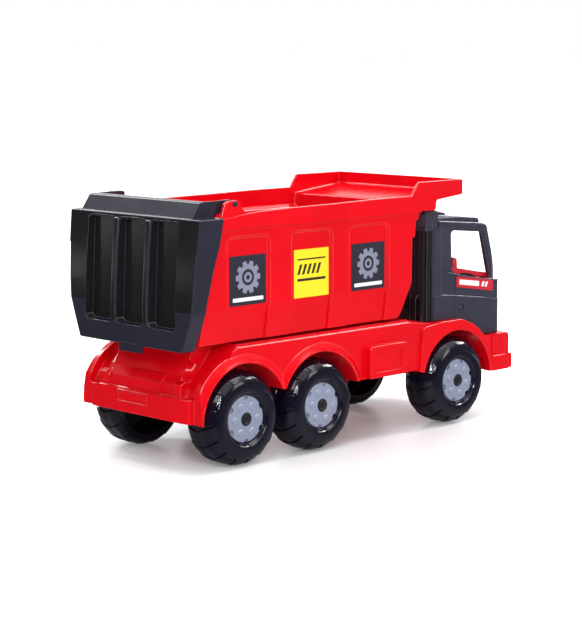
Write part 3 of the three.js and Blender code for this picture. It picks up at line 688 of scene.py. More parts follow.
# ---------------------------------------------------------------- cab
def cab():
    upper_plan = [(290, -90), (402, -88, 4), (415, -85.5, 12), (424.0, -64, 40), (425, 0), (424.0, 64, 40), (415, 85.5, 12), (402, 88, 4), (290, 90)]
    lower_plan = [(290, -90), (419.6, -88.3, 7), (425.2, -72, 30), (427.4, 0), (425.2, 72, 30), (419.6, 88.3, 7), (290, 90)]
    # window frame
    low = side([(301, 150), (301, 229), (313, 229), (313, 234), (393, 229.2, 2), (397.4, 227.4, 3), (416.5, 163, 3), (418, 150)], -87.2, 87.2)
    keep(low, plan(upper_plan, 80, 260))
    # lower body, its front corner stands out past the window pillar
    body = side([(301, 122.3), (301, 185, 2), (316, 181.5, 8), (327.5, 177, 30), (354, 171.9, 60), (372.8, 167.9, 60), (392, 165.0, 60), (421.4, 161.2, 1),
                 (426, 98), (384.4, 98), (372.4, 106.6), (360.3, 114.5), (342.2, 121.5)], -88, 88)
    keep(body, plan(lower_plan, 80, 260))
    # bead along the window sill, running out at the front corner
    bead = side([(318, 180.6), (327.5, 177), (354, 171.9, 60), (372.8, 167.9, 60), (392, 165.0, 60), (421.4, 161.2), (421.4, 159.8), (392, 163.6, 60),
                 (372.8, 166.5, 60), (354, 170.4, 60), (327.5, 175.4), (318, 179)], -88.7, 88.7)
    keep(bead, plan([(290, -92), (400, -92), (419.8, -88.6, 7), (425.4, -72, 30), (427.6, 0), (425.4, 72, 30), (419.8, 88.6, 7), (400, 92), (290, 92)], 80, 260))
    # gutter round the roof, and the roof plate set inside it
    gutter = side([(312.4, 228), (312.4, 237.6, 0.6), (327.4, 236.0), (348.4, 234.0), (392, 230.2, 1), (395.8, 228.4, 1), (394.6, 226.2, 1), (348, 231.2), (327, 233.2), (314, 234.4, 1), (314, 228)],
                  -88.5, 88.5)
    keep(gutter, plan([(290, -90), (388, -88.6, 5), (397.0, -84, 8), (400, 0), (397.0, 84, 8), (388, 88.6, 5), (290, 90)], 80, 260))
    roof = side([(311.8, 228), (311.5, 243.7, 3), (350, 240.6, 200), (388.6, 236.4, 4), (390.5, 230), (390, 228)], -90, 90)
    keep(roof, section(symmetric([(82, 220), (81.2, 238.5, 4), (76, 245.5, 6), (40, 247)]), 300, 400))
    # lower door panel stands proud, its top edge falls towards the front
    door = side([(302, 123), (302, 151.4, 2), (320, 151.4, 30), (340, 149.4, 60), (384.5, 143.4, 90), (422.4, 137.8), (425.2, 99), (385, 99), (373, 107.2), (361, 115), (342.5, 122.2)],
                -89.8, 89.8)
    keep(door, plan([(290, -92), (398, -92), (419.7, -88.5, 7), (425.2, -72.1, 30), (425.2, 72.1, 30), (419.7, 88.5, 7), (398, 92), (290, 92)], 80, 200))
    keep(door, join(block(290, 440, -95, -60, 90, 200), block(290, 440, 60, 95, 90, 200)))
    column = plan([(302, 84), (302.3, 87.8, 1.5), (304.2, 89.0, 2), (315.8, 89.0, 2), (317.8, 87.8, 1.5), (318, 84)], 150.6, 227.4)
    join(low, body, bead, gutter, roof, door, both(column))
    hollow = side([(304, 80), (304, 226), (316, 227), (315, 238), (386, 231.5), (388, 227.5), (394.5, 226.0),
                   (412.5, 161), (419, 158.5), (423, 80)], -84.6, 84.6)
    keep(hollow, section(symmetric([(84.6, 70), (84.6, 224), (78, 228), (78, 250)]), 290, 440))
    keep(hollow, plan([(290, -88), (402, -84.6, 4), (411, -82.0, 12), (420.6, -60, 40), (421.2, 0), (420.6, 60, 40), (411, 82.0, 12), (402, 84.6, 4), (290, 88)], 60, 260))
    cuts = [hollow]
    # window opening
    win = [(334.5, 225.4, 5), (388, 220.3, 7), (406.0, 162.9, 4), (372, 168.3, 60), (337, 175.2, 10)]
    cuts += both(side(win, 78, 95))
    cuts += both(side([(331.4, 228.2, 7), (390.6, 222.6, 8), (409.4, 164.0, 3), (392, 165.2, 30), (354, 172.0, 40), (334, 176.2, 10)], 86.4, 95))
    cuts.append(side([(384, 222), (404, 222), (421, 169), (400, 169)], -75, 75))
    # door seam, handle pocket
    cuts += both(side(rect(340.5, 341.5, 118, 173), 87.5, 95))
    cuts += both(side(rect(345.4, 354.6, 131.4, 137.6, 1.2), 88.1, 95))
    # grille pocket
    cuts.append(side([(422.6, 152), (432, 152), (434, 106), (423.6, 106)], -60, 60))
    cuts += both(section([(66, 108, 3), (80, 108, 3), (80, 150, 3), (66, 150, 3)], 418, 440))
    cut(low, cuts)
    bars = []
    for z in (110.5, 119, 127.5, 136, 144.5):
        bars.append(keep(side([(419, z), (419, z + 3.4), (425.4 - (z - 98) * 0.06, z + 2.6), (425.6 - (z - 98) * 0.06, z + 0.6)], -61, 61),
                         plan([(400, -70), (426.4, -62), (426.8, 0), (426.4, 62), (400, 70)], 100, 160)))
    handle = both(side(rect(347, 353, 133.3, 135.7, 0.8), 87.5, 89.6))
    join(low, bars, handle)
    soften(low, 0.5, 22, 3)
    piece(low, "cab_moulding", "chassis", [GRAPHITE], ["cab_shell"])

    back = section(symmetric([(84, 122.4), (84, 232)]), 296, 300.6)
    parts = []
    for y in (-54, -32, -11, 11, 32, 54):
        parts.append(plan([(297, y - 3.4), (292.6, y - 3.2, 1.4), (291.4, y, 1.6), (292.6, y + 3.2, 1.4), (297, y + 3.4)], 122.4, 228))
    # air intake: capped duct above, two pipes below it
    intake = side([(289, 229), (289, 249, 3), (296, 252, 4), (305, 251, 3), (324, 246, 4), (324, 244.2), (310.9, 244.4),
                   (310.9, 229)], 74, 87)
    keep(intake, section([(74, 120), (74, 247, 3), (78, 252.5, 4), (83, 252.5, 4), (87, 247, 3), (87, 120)], 280, 330))
    flutes = []
    for y in (76.4, 79.4, 82.4, 85.0):
        flutes.append(plan([(286, y - 0.5), (289.7, y - 0.5), (289.7, y + 0.5), (286, y + 0.5)], 233, 246))
    for x in (294, 298, 302, 306):
        flutes.append(plan([(x - 0.6, 86.4), (x + 0.6, 86.4), (x + 0.6, 89), (x - 0.6, 89)], 233, 243))
    collar = side([(287.6, 227.4), (287.6, 230.6, 0.6), (311.6, 230.6, 0.6), (311.6, 228.6, 0.4), (300.5, 228.6), (300.5, 227.4)], 73.2, 88.6)

    def pipe(x, y, r, z0, z1):
        return plan([(x + r * math.cos(2 * math.pi * k / 40), y + r * math.sin(2 * math.pi * k / 40)) for k in range(40)], z0, z1)

    pipes = [pipe(292.6, 80.0, 4.3, 122.4, 229), pipe(293.2, 70.4, 2.6, 122.4, 229)]
    web = block(293, 300.8, 66, 86.6, 122.4, 228.4)
    foot = side([(287.6, 122.4), (287.6, 148, 2), (290, 152, 2), (296, 152), (296, 122.4)], 66.5, 74.5)
    for q in (intake, collar, web, foot):
        parts += both(q)
    parts += [p for q in pipes for p in both(q)]
    join(back, parts)
    cut(back, [p for q in flutes for p in both(q)])
    soften(back, 0.5, 24, 3)
    # the recess under the collar, with its pipes and web, gets the darker copy as painted shade between bed and cab
    paint_faces(back, 1, lambda c, n: c.z < 229.3 and c.x < 300.9 and abs(c.y) < 87.1)
    piece(back, "cab_back_ribs", "chassis", [GRAPHITE, PAINTED_SHADE_GRAPHITE], ["cab_back_panel"])


def interior():
    base = block(312, 398, -80, 80, 123, 126)
    soften(base, 0.5, 30, 2)
    cushion = side([(358, 124), (357.4, 138, 3), (362, 142.6, 4), (376, 143.4, 5), (381, 137, 4), (380, 124)], 12, 74)
    back = side([(350, 124), (353.6, 187, 4), (355.4, 190.9, 2), (360.4, 190.5, 3), (364.4, 140), (365, 124)], 12, 74)
    seat = join(cushion, back)
    soften(seat, 1.6, 26, 4)
    # raised side panels with sunk hollows
    panel = side([(312, 124), (312, 187.4, 2), (408.3, 169.2, 1), (409.3, 161, 2), (398, 140, 4), (398, 124)], 77, 80)
    holes = []
    for cx, cz, rx, rz in ((372, 168.5, 15, 3.2), (399, 163.4, 6.6, 2.2)):
        ring = []
        for k in range(28):
            a = 2 * math.pi * k / 28
            c, d = math.cos(a) * rx, math.sin(a) * rz
            ring.append((cx + c + 0.19 * d, cz + d - 0.19 * c))
        holes.append(side(ring, 78.2, 82))
    cut(panel, holes)
    soften(panel, 0.4, 26, 3)
    # the sunk hollows get the darker graphite as painted shade
    paint_faces(panel, 1, lambda c, n: c.z > 159 and abs(c.y) < 79.2 and abs(c.y) > 77.2 and ((c.x - 372) / 17) ** 2 + ((c.z - 168.5 + 0.19 * (c.x - 372)) / 5) ** 2 < 1.2
                or c.z > 159 and abs(c.y) < 79.2 and abs(c.y) > 77.2 and ((c.x - 399) / 8) ** 2 + ((c.z - 163.4 + 0.19 * (c.x - 399)) / 4) ** 2 < 1.2)
    dash = side([(384, 124), (376, 157, 4), (381, 163, 6), (393, 166.5, 6), (409, 162, 3), (414, 140), (414, 124)], -70, 70)
    soften(dash, 1.6, 26, 4)
    visor = turned([(0, -9), (7, -9), (9, -5), (9.4, 5), (7, 9), (0, 9)], 386, 160.5, 1, 40)
    moved(visor, Matrix.Translation((0, 36, 0)))
    tilt = Matrix.Translation((371, 36, 158)) @ Matrix.Rotation(-0.45, 4, "Y") @ Matrix.Rotation(math.radians(90), 4, "Z")
    rim = turned([(13 + 1.35 * math.cos(a), 1.35 * math.sin(a)) for a in [2 * math.pi * k / 16 for k in range(16)]], 0, 0, 1, 64)
    hub = turned([(0, -1.4), (3.4, -1.4), (3.8, 0), (3.2, 1.4), (0, 1.8)], 0, 0, 1, 32)
    spokes = []
    for k in range(3):
        sp = block(2, 12.6, -0.9, 0.9, -1.5, 1.5)
        spokes.append(moved(sp, Matrix.Rotation(math.radians(90 + 120 * k), 4, "Y")))
    stem = turned([(0, -16), (1.9, -16), (2.1, -1), (0, -1)], 0, 0, 1, 24)
    wheel = join(rim, hub, spokes, stem)
    moved(wheel, tilt)
    join(base, both(seat), both(panel), dash, visor)
    heap(base, wheel)
    return piece(base, "cab_seats_and_dash", "chassis", [RED_IN, PAINTED_SHADE_GRAPHITE], ["cab_interior"])


# ---------------------------------------------------------------- dump bed
def bed():
    outline = [(-57, BED_Z, 1), (-55, 156, 30), (-54, 176, 30), (-51, 190, 30), (-46, 212, 60), (-38, 237, 60), (-34, 263, 4), (-24, 270.5, 8),
               (253.5, 270.5, 3), (255, 273, 2), (264, 285.5, 4), (339, 285.5, 3), (339, 268, 2), (294.6, 263.7, 3), (293, 252.4, 2),
               (269.4, 252.7, 1), (267.8, 243.2, 1), (263.9, 241.7, 1), (262, 223.7, 1), (258, 222.7, 1), (257, 172, 24), (243, BED_Z, 8)]
    body = side(outline, -101, 101)
    keep(body, section(symmetric([(90, BED_Z), (96.5, 170, 30), (96.5, 249.2), (97.4, 250.2, 0.8), (100, 251.4, 0.8), (100, 290)]), -60, 345))
    # recessed side panels with drafted flanks
    for a, b in ((-20.5, 35.5), (71, 128.5), (158.5, 217.5)):
        def panel(y_in, grow):
            return [(a - grow, 120, 1), (a - grow, 241 + grow, 6 + grow), (b + grow, 241 + grow, 6 + grow), (b + grow, 120, 1)]
        prism = loft([(84, panel(84, 0)), (93.8, panel(0, 0)), (96.5, panel(0, 2.2)), (103, panel(0, 7.5))], segs=8)
        clip = section([(87.3, 128), (93.8, 170, 30), (93.8, 250), (104, 250), (104, 120), (86, 120)], a - 10, b + 10)
        cut(body, both(keep(prism, clip)))
    cavity = side([(-80, 135.5), (238, 135.5, 8), (254, 174, 22), (255, 225, 3), (259, 244, 3), (261, 263.5, 3), (336, 272, 2), (336, 300), (-80, 300)],
                  -101, 101)
    keep(cavity, section(symmetric([(84.2, 135), (90.8, 171, 30), (90.8, 247), (96.8, 250.5), (96.8, 300)]), -80, 345))
    cut(body, cavity)
    dip = side([(-50, 260.2), (-33, 262.2, 8), (-15, 264.4, 20), (2, 266.2, 20), (22, 267.7, 40), (60, 268.7, 80), (134, 269.5, 120), (205, 270.7), (205, 290), (-50, 290)], 96, 102)
    cut(body, both(dip))
    adds = both(side([(-33.4, 256), (-32.6, 264, 2), (-27.5, 278.4, 4), (-22, 280.6, 4), (-7.4, 280.6, 5), (-4.8, 274, 5), (0, 268, 6), (8, 262), (8, 256)], 94.8, 98.6))
    adds += both(side([(-37.0, BED_Z + 1), (-36.9, 119, 5), (-36.9, 113.8, 5.0), (-26.8, 113.8, 5.2), (-26, 119, 5), (-22, BED_Z + 1)], 28, 34))
    # stiffening ribs under the floor and in the shelf over the cab
    for y in (14, 47):
        adds += both(section([(y, BED_Z + 0.5), (y + 0.4, BED_Z - 1.5), (y + 2.2, BED_Z - 1.5), (y + 2.6, BED_Z + 0.5)], -10, 236))
    for x in (60, 120, 180):
        adds.append(side([(x, BED_Z + 0.5), (x + 0.4, BED_Z - 1.5), (x + 2.2, BED_Z - 1.5), (x + 2.6, BED_Z + 0.5)], -50, 50))
    for y in (-60, -20, 20, 60):
        adds.append(side([(257, 238), (262, 263), (300, 268.4), (300, 266), (266, 252), (262, 236)], y - 1.2, y + 1.2))
    join(body, adds)
    cut(body, rod(*GATE_PIVOT, 3.2, -110, 110, 40), rod(*BED_PIVOT, 2.3, -60, 60, 32))
    soften(body, 0.85, 20, 3)
    return piece(body, "dump_bed_moulding", "dump_bed_body", [RED], ["dump_bed"])


# ---------------------------------------------------------------- tailgate
def tailgate():
    back = [(-75.7, 127), (-75.4, 149.5, 60), (-75.3, 169, 60), (-74.3, 191, 90), (-71.7, 228, 90), (-68, 264, 2)]
    border = [(-34.6, 263.5, 1), (-38.6, 237, 60), (-46.6, 212, 60), (-51.6, 190, 30), (-54.6, 176, 30), (-55.6, 156, 30), (-57.6, 132, 2), (-57.8, 127)]
    half = [(84.7, 127, 3), (93.4, 149.5, 8), (100.4, 169, 20), (102.3, 191, 60), (104, 228, 60), (105, 264, 2)]
    gate = side(back + [(-35, 264.4, 0.5)] + border[1:], -106, 106)
    keep(gate, section(symmetric(half), -80, -30))
    soften(gate, 1.8, 40, 4)
    inner = side([(-72.7, 130), (-72.4, 149.5), (-72.3, 169), (-71.3, 191), (-68.7, 228), (-65.3, 261), (-20, 261), (-20, 130)], -105, 105)
    keep(inner, section(symmetric([(82, 130), (90.4, 149.5), (97.3, 169), (99.3, 191), (101, 228), (101.9, 261)]), -80, -10))
    cut(gate, inner)
    trays, wells, ribs = [], [], []
    for y in (-52.3, 0, 52.3):
        tray = section(rect(y - 23.3, y + 23.3, 146, 260.9, 6), -76, -50)
        keep(tray, side([(-73.2, 140), (-63.2, 140), (-57.4, 262), (-68.6, 262)], y - 30, y + 30))
        trays.append(tray)
        well = loft([(-85, rect(y - 22.4, y + 22.4, 147.2, 260.6, 6.5)), (-76, rect(y - 21.6, y + 21.6, 148.2, 259.6, 6)),
                     (-57, rect(y - 20.0, y + 20.0, 150.4, 258, 4.5))], segs=8, axis="x")
        keep(well, side([(-90, 140), (-66.4, 140), (-60.6, 264), (-90, 264)], y - 30, y + 30))
        wells.append(well)
    for y in (-26.15, 26.15):
        rib = side([(-70, 147), (-76.6, 149.5, 3), (-76.5, 169, 60), (-75.5, 191, 90), (-72.9, 228, 90), (-70.2, 258, 3), (-66, 262)], y - 3.9, y + 3.9)
        ribs.append(soften(rib, 1.6, 30, 4))
    join(gate, trays)
    cut(gate, wells)
    join(gate, ribs)
    cap = side([(-66.6, 262.6), (-54.2, 280.4, 3), (-46, 280.9, 0.6), (-46, 277.7, 0.6), (-52, 277.2, 2), (-61.7, 263)], -90.2, 90.2)
    cheek = side([(-66.5, 262.7), (-54.15, 280.3, 3), (-46, 280.6), (-20, 281.1), (-13.4, 281.3, 4), (-8.3, 280.5, 4), (-8.3, 272, 4), (-14, 271.3, 4),
                  (-33, 266), (-34.7, 262)], 86.6, 90.1)
    pins = both(rod(*GATE_PIVOT, 3.1, 88, 99.8, 40, 0.6))
    slots = both(side(rect(GATE_PIVOT[0] - 1.9, GATE_PIVOT[0] + 1.9, GATE_PIVOT[1] - 0.4, GATE_PIVOT[1] + 0.4), 99.3, 103))
    tab = plan([(-76.6, -17.5, 1.5), (-76.6, 17.5, 1.5), (-70.2, 17.5, 1), (-70.2, -17.5, 1)], 119.8, 129)
    step = section([(-9, 121.5, 1), (-9, 128.6), (9, 128.6), (9, 121.5, 1)], -78, -75.9)
    join(gate, cap, both(cheek), pins, tab)
    cut(gate, slots, step)
    soften(gate, 0.55, 28, 3)
    # the back face, trays and ribs get the darker, browner copy as painted shade and dark reflection
    paint_faces(gate, 1, lambda c, n: c.z > 148.6 and c.x < -57 and (abs(c.y) < 77.5 or n.x < -0.25) and c.z < 262.4)
    return piece(gate, "tailgate_moulding", "tailgate_body", [GATE, PAINTED_SHADE_GRAPHITE], ["tailgate"])


# ---------------------------------------------------------------- labels
def gear_outline(cx, cz, r0, r1, teeth):
    pts = []
    for k in range(teeth):
        a = 2 * math.pi * k / teeth
        w = math.pi / teeth
        for da, r in ((-0.78 * w, r0), (-0.48 * w, r1), (0.48 * w, r1), (0.78 * w, r0)):
            pts.append((cx + r * math.cos(a + da), cz + r * math.sin(a + da)))
    return pts


def mark(pts, s, y0, y1, index):
    ob = side(pts, *span(s, y0, y1))
    for p in ob.data.polygons:
        p.material_index = index
    return ob


def ring_mark(cx, cz, r0, r1, s, y0, y1, index):
    ob = turned([(r0, y0), (r1, y0), (r1, y1), (r0, y1)], cx, cz, s, 48)
    for p in ob.data.polygons:
        p.material_index = index
    return ob


def labels():
    for s, name in ((-1, "right"), (1, "left")):
        for where, a, b, slot in (("rear", -18, 33, "dark"), ("middle", 74, 126, "yellow"), ("front", 162, 214, "dark")):
            plate = side(rect(a, b, 170.6, 222.5, 1.2), *span(s, 94.1, 94.4))
            soften(plate, 0.08, 30, 2)
            cx, y0, y1 = (a + b) / 2, 94.3, 94.5
            if slot == "dark":
                gear = side(gear_outline(cx, 199.5, 13.4, 17.4, 10), *span(s, y0, y1))
                cut(gear, rod(cx, 199.5, 8.6, -110, 110, 48))
                for p in gear.data.polygons:
                    p.material_index = 1
                heap(plate, gear, ring_mark(cx, 199.5, 2.6, 5.4, s, y0, y1, 1),
                     mark(rect(a + 4, b - 4, 174.6, 178.6, 0.6), s, y0, y1, 2))
                mats = [INK_DARK, INK_GREY, INK_WHITE]
            else:
                marks = [mark([(u, 195.6), (u + 4.4, 206.6), (u + 8.0, 206.6), (u + 3.6, 195.6)], s, y0, y1, 1) for u in [a + 4.6 + 7.05 * k for k in range(5)]]
                marks += [mark(rect(a + 5, b - 5, 188.4, 191.2, 0.4), s, y0, y1, 1), mark(rect(a + 5, b - 5, 211.0, 212.6, 0.4), s, y0, y1, 1)]
                heap(plate, marks)
                mats = [INK_YELLOW, INK_BLACK]
            piece(plate, f"bed_label_{name}_{where}", "dump_bed_body", mats, [f"bed_decal_{name}_{where}"])
        plate = side([(343, 158.6, 0.8), (343, 171.2, 0.8), (408.5, 162, 0.8), (408.5, 148.6, 0.8)], *span(s, 88.3, 88.6))
        soften(plate, 0.08, 30, 2)

        def slant(u0, u1, v0, v1, lean=0.0):
            # a patch laid along the tilted label, in its own directions
            out = []
            for u, v in ((u0, v0), (u0 + lean, v1), (u1 + lean, v1), (u1, v0)):
                out.append((343 + u, 158.6 - 0.1465 * u + v * (12.8 + 0.0092 * u)))
            return out

        marks = [mark(slant(5, 40, 0.27, 0.73), s, 88.5, 88.7, 1),
                 mark(slant(44, 47.6, 0.27, 0.73, 2.6), s, 88.5, 88.7, 1),
                 mark(slant(50, 53.6, 0.27, 0.73, 2.6), s, 88.5, 88.7, 1)]
        heap(plate, marks)
        piece(plate, f"cab_label_{name}", "chassis", [INK_RED, INK_WHITE], [f"cab_decal_{name}"])


# ---------------------------------------------------------------- wheels
LUGS = 16


def smooth(t):
    t = max(0.0, min(1.0, t))
    return t * t * (3 - 2 * t)


def tyre(x, s, turn):
    """Hollow moulded tyre; shallow lug steps are pressed into the tread and shoulders."""
    prof = rounded([
        (2.8, 94.2), (25.2, 94.2, 0.6), (25.8, 98.6, 1.2), (28.2, 99.4, 1.2), (29.4, 101.0, 1.6), (34.5, 101.5, 8), (39.5, 100.6, 8),
        (44.6, 97.9, 7), (48.2, 93.6, 6), (50.2, 88.6, 5), (50.8, 84.6), (50.8, 78.1), (50.2, 77.6, 0.3), (50.2, 75.4, 0.3), (50.8, 74.9),
        (50.8, 69.6), (50.5, 66, 1.5), (49, 61.5, 3), (46, 58, 1.5), (38, 58, 1), (37, 80, 2), (11, 80, 2),
        (10, 64, 0.6), (2.8, 64),
    ], 10)
    # split long runs so that the lugs have vertices to shape them
    fine = []
    for (r0, y0), (r1, y1) in zip(prof, prof[1:]):
        length = math.hypot(r1 - r0, y1 - y0)
        k = max(1, math.ceil(length / 1.3)) if r0 > 36 and r1 > 36 and 59 < y0 < 102 and 59 < y1 < 102 else 1
        fine += [(r0 + (r1 - r0) * j / k, y0 + (y1 - y0) * j / k) for j in range(k)]
    fine.append(prof[-1])
    # vertices gather round each groove so that its walls stay crisp
    per = [0.0, 0.07, 0.16, 0.27, 0.38, 0.43, 0.455, 0.468, 0.48, 0.5, 0.52, 0.532, 0.545, 0.56, 0.60, 0.68, 0.80, 0.91]
    verts, faces = [], []
    segs = LUGS * len(per)
    for r, y in fine:
        shoulder = smooth((y - 83.5) / 4) * smooth((r - 42.2) / 2.0) if y > 76.5 else 0.0
        tread = 1.0 if r > 49.4 and 67 < y < 86 else 0.0
        inner = smooth((70 - y) / 4) * smooth((r - 45.5) / 2) if y < 70 else 0.0
        slant = (y - 76.5) * 0.007 if y > 76.5 else -(y - 76.5) * 0.007
        for k in range(segs):
            lug, u = divmod(k, len(per))
            u = per[u]
            a = 2 * math.pi * (lug + u) / LUGS + turn - slant
            gap = abs(u - 0.5)
            groove = 1 - smooth((gap - 0.018) / 0.034)
            ramp = (u - 0.5) % 1.0
            depth = max(shoulder, inner) * (1.7 * groove + 1.15 * ramp) + tread * (1 - max(shoulder, inner)) * (1.1 * groove + 1.15 * ramp)
            rr = r - depth * 0.8
            yy = y - 0.6 * depth * shoulder * smooth((y - 89) / 6)
            verts.append((x + rr * math.cos(a), s * yy, AXLE_Z + rr * math.sin(a)))
    n = len(fine)
    for i in range(n):
        j = (i + 1) % n
        for k in range(segs):
            m = (k + 1) % segs
            faces.append((i * segs + k, i * segs + m, j * segs + m, j * segs + k))
    return solid(verts, faces)


def wheels():
    for i, (where, x) in enumerate(AXLES):
        turn = (0.0, 0.35, 0.8)[i]
        phase = math.radians((90, 82, 74)[i])
        for s, name in ((-1, "right"), (1, "left")):
            t = tyre(x, s, turn)
            piece(t, f"{where}_tyre_{name}", f"{where}_axle", [BLACK], [f"{where}_wheel_{name}"], 50)
            disc = turned([(7.2, 94.5), (24.9, 94.5), (24.9, 97.2), (24.2, 98.1), (22, 98.5), (11, 98.6), (8.4, 99.1), (7.2, 98.9)], x, AXLE_Z, s, 96)
            notches, bosses = [], []
            for k in range(6):
                a = phase + k * math.pi / 3
                notches.append(rod(x + 24.1 * math.cos(a), AXLE_Z + 24.1 * math.sin(a), 3.3, *span(s, 95.3, 105), 28))
                a += math.pi / 6
                bosses.append(turned([(0, 97), (3.7, 97), (3.6, 99.2), (3.2, 99.9), (1.6, 100.2), (0, 100.25)],
                                     x + 15.8 * math.cos(a), AXLE_Z + 15.8 * math.sin(a), s, 28))
            cut(disc, notches)
            join(disc, bosses)
            soften(disc, 0.4, 28, 3)
            piece(disc, f"{where}_hub_{name}", f"{where}_axle", [GREY], [f"{where}_hub_disc_{name}"])
            c = turned([(0, 94.6), (6.7, 94.6), (6.9, 95), (6.9, 98.9), (6.6, 99.7), (5.6, 100.2), (4.6, 100.2), (4.3, 99.9), (3.9, 99.9), (2.6, 100.3), (0, 100.5)],
                       x, AXLE_Z, s, 48)
            piece(c, f"{where}_cap_{name}", f"{where}_axle", [CAP], [f"{where}_axle_cap_{name}"])


# ---------------------------------------------------------------- stage
def stage():
    me = bpy.data.meshes.new("floor")
    me.from_pydata([(-30, -30, -0.0004), (30, -30, -0.0004), (30, 30, -0.0004), (-30, 30, -0.0004)], [], [(0, 1, 2, 3)])
    floor = bpy.data.objects.new("floor", me)
    scene.collection.objects.link(floor)
    mat = bpy.data.materials.new("floor_pale")
    mat.use_nodes = True
    nt = mat.node_tree
    new, link = nt.nodes.new, nt.links.new
    b = nt.nodes["Principled BSDF"]
    out = nt.nodes["Material Output"]
    b.inputs["Base Color"].default_value = (0.93, 0.93, 0.94, 1)
    b.inputs["Roughness"].default_value = 0.30
    b.inputs["Specular IOR Level"].default_value = 0.4
    geo, lp, length = new("ShaderNodeNewGeometry"), new("ShaderNodeLightPath"), new("ShaderNodeVectorMath")
    length.operation = "LENGTH"
    link(geo.outputs["Position"], length.inputs[0])

    def fade(lo, hi, v0, v1):
        m = new("ShaderNodeMapRange")
        m.interpolation_type = "SMOOTHSTEP"
        m.inputs[1].default_value, m.inputs[2].default_value = lo, hi
        m.inputs[3].default_value, m.inputs[4].default_value = v0, v1
        link(length.outputs["Value"], m.inputs[0])
        return m.outputs[0]

    def along(vec):
        m = new("ShaderNodeVectorMath")
        m.operation = "DOT_PRODUCT"
        m.inputs[1].default_value = vec
        link(geo.outputs["Position"], m.inputs[0])
        return m.outputs["Value"]

    def ease(v, lo, hi, v0, v1):
        m = new("ShaderNodeMapRange")
        m.interpolation_type = "SMOOTHSTEP"
        m.inputs[1].default_value, m.inputs[2].default_value = lo, hi
        m.inputs[3].default_value, m.inputs[4].default_value = v0, v1
        link(v, m.inputs[0])
        return m.outputs[0]

    def calc(op, a, c):
        m = new("ShaderNodeMath")
        m.operation = op
        for sock, val in ((m.inputs[0], a), (m.inputs[1], c)):
            if isinstance(val, (int, float)):
                sock.default_value = val
            else:
                link(val, sock)
        return m.outputs[0]

    # the sweep burns out to white away from the object for the camera; polished plastic sees a darker studio
    white, far = new("ShaderNodeEmission"), new("ShaderNodeEmission")
    far.inputs[0].default_value = (0.93, 0.93, 1.0, 1)
    link(calc("ADD", calc("ADD", 0.04, ease(along((0.69, -0.72, 0)), 0.0, 0.6, 0.0, 0.16)), ease(along((0.69, 0.72, 0)), 0.3, 0.8, 0.0, 0.85)), far.inputs[1])
    add, pick = new("ShaderNodeAddShader"), new("ShaderNodeMixShader")
    link(calc("MULTIPLY", lp.outputs["Is Camera Ray"], fade(0.14, 0.52, 0.10, 1.0)), white.inputs[1])
    link(b.outputs[0], add.inputs[0])
    link(white.outputs[0], add.inputs[1])
    link(calc("MULTIPLY", lp.outputs["Is Glossy Ray"], fade(0.12, 0.5, 0.60, 1.0)), pick.inputs[0])
    link(add.outputs[0], pick.inputs[1])
    link(far.outputs[0], pick.inputs[2])
    link(pick.outputs[0], out.inputs[0])
    if hasattr(mat, "cycles") and hasattr(mat.cycles, "emission_sampling"):
        mat.cycles.emission_sampling = "NONE"
    me.materials.append(mat)

    world = bpy.data.worlds.new("studio")
    world.use_nodes = True
    if hasattr(world, "cycles") and hasattr(world.cycles, "sampling_method"):
        world.cycles.sampling_method = "NONE"
    nt = world.node_tree
    nt.nodes.clear()
    new, link = nt.nodes.new, nt.links.new
    out, bg = new("ShaderNodeOutputWorld"), new("ShaderNodeBackground")
    link(bg.outputs[0], out.inputs[0])
    lp, tc, sep = new("ShaderNodeLightPath"), new("ShaderNodeTexCoord"), new("ShaderNodeSeparateXYZ")
    link(tc.outputs["Generated"], sep.inputs[0])
    def along(vec):
        m = new("ShaderNodeVectorMath")
        m.operation = "DOT_PRODUCT"
        m.inputs[1].default_value = vec
        link(tc.outputs["Generated"], m.inputs[0])
        return m.outputs["Value"]

    def ease(v, lo, hi, v0, v1):
        m = new("ShaderNodeMapRange")
        m.interpolation_type = "SMOOTHSTEP"
        m.inputs[1].default_value, m.inputs[2].default_value = lo, hi
        m.inputs[3].default_value, m.inputs[4].default_value = v0, v1
        link(v, m.inputs[0])
        return m.outputs[0]

    def calc(op, a, c):
        m = new("ShaderNodeMath")
        m.operation = op
        link(a, m.inputs[0])
        link(c, m.inputs[1])
        return m.outputs[0]

    # polished surfaces see a white sheet behind the object, a soft box overhead and a dim room elsewhere
    sky = ease(sep.outputs["Z"], 0.30, 0.97, 0.045, 1.5)
    sheet = calc("MULTIPLY", ease(along((0.69, 0.72, 0)), 0.55, 0.93, 0.0, 1.0), ease(sep.outputs["Z"], 0.35, 0.75, 1.0, 0.0))
    flank = ease(along((0.69, -0.72, 0)), 0.6, 0.98, 0.0, 0.14)
    grey = calc("ADD", calc("ADD", sky, sheet), flank)
    mix1, mix2 = new("ShaderNodeMix"), new("ShaderNodeMix")
    for m in (mix1, mix2):
        m.data_type = "RGBA"
    link(lp.outputs["Is Glossy Ray"], mix1.inputs[0])
    mix1.inputs[6].default_value = (0.46, 0.46, 0.49, 1)
    tint = new("ShaderNodeVectorMath")
    tint.operation = "SCALE"
    tint.inputs[0].default_value = (0.97, 0.97, 1.0)
    link(grey, tint.inputs["Scale"])
    link(tint.outputs["Vector"], mix1.inputs[7])
    link(lp.outputs["Is Camera Ray"], mix2.inputs[0])
    link(mix1.outputs[2], mix2.inputs[6])
    mix2.inputs[7].default_value = (1.0, 1.0, 1.0, 1)
    link(mix2.outputs[2], bg.inputs[0])
    bg.inputs[1].default_value = 1.0
    scene.world = world

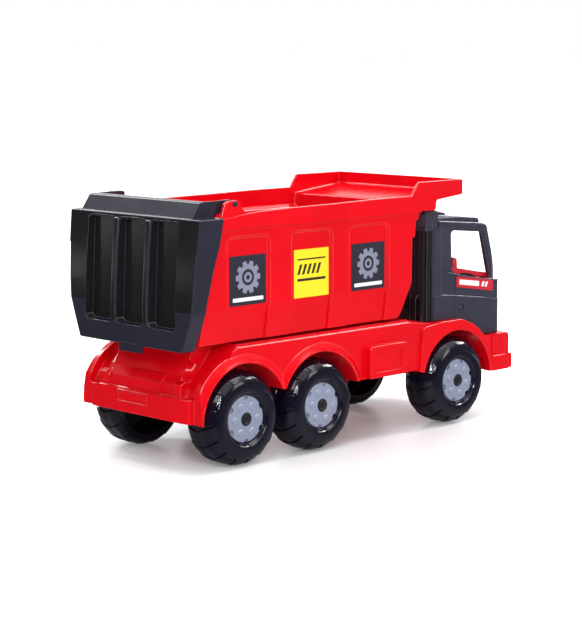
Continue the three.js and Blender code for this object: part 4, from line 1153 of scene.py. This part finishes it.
    def area(name, at, aim, w, h, power, colour=(1, 1, 1)):
        d = bpy.data.lights.new(name, "AREA")
        d.shape, d.size, d.size_y, d.energy, d.color = "RECTANGLE", w, h, power, colour
        o = bpy.data.objects.new(name, d)
        scene.collection.objects.link(o)
        o.location = at
        o.rotation_mode = "QUATERNION"
        o.rotation_quaternion = (Vector(aim) - Vector(at)).to_track_quat("-Z", "Y")
        return o

    area("top_softbox", (0.15, -0.05, 1.6), (0.02, 0, 0.1), 1.5, 1.0, 13)
    area("key_softbox", (-1.6, -1.0, 1.35), (-0.05, 0, 0.14), 0.8, 0.8, 7)
    area("side_softbox", (0.9, -1.9, 1.0), (0.05, 0, 0.14), 0.6, 0.8, 5.5)
    area("edge_light", (1.35, -0.30, 1.30), (0, -0.05, 0.2), 0.22, 0.9, 13)
    area("edge_light_back", (-0.25, 1.35, 1.35), (-0.1, 0, 0.2), 0.22, 0.9, 13)
    area("strip_a", (-1.02, -1.12, 0.60), (0.0, -0.1, 0.06), 0.045, 0.5, 3.5)
    area("strip_b", (-0.86, -1.24, 0.60), (0.0, -0.1, 0.06), 0.045, 0.5, 3.5)

    cam = bpy.data.cameras.new("camera")
    cam.lens, cam.sensor_width, cam.sensor_fit = 107.22, 36.0, "AUTO"
    cam.clip_start, cam.clip_end = 0.05, 100
    o = bpy.data.objects.new("camera", cam)
    scene.collection.objects.link(o)
    o.location = (-1.50545, -1.5425, 0.4376)
    yaw, pitch, roll = math.radians(46.089), math.radians(-8.191), math.radians(-0.134)
    fwd = Vector((math.cos(yaw) * math.cos(pitch), math.sin(yaw) * math.cos(pitch), math.sin(pitch)))
    q = fwd.to_track_quat("-Z", "Y") @ Matrix.Rotation(roll, 3, "Z").to_quaternion()
    o.rotation_mode = "QUATERNION"
    o.rotation_quaternion = q
    scene.camera = o
    scene.view_settings.view_transform = "Standard"
    scene.view_settings.look = "None"
    scene.view_settings.exposure = 0.0


chassis()
rods()
cab()
interior()
bed()
tailgate()
labels()
wheels()
stage()
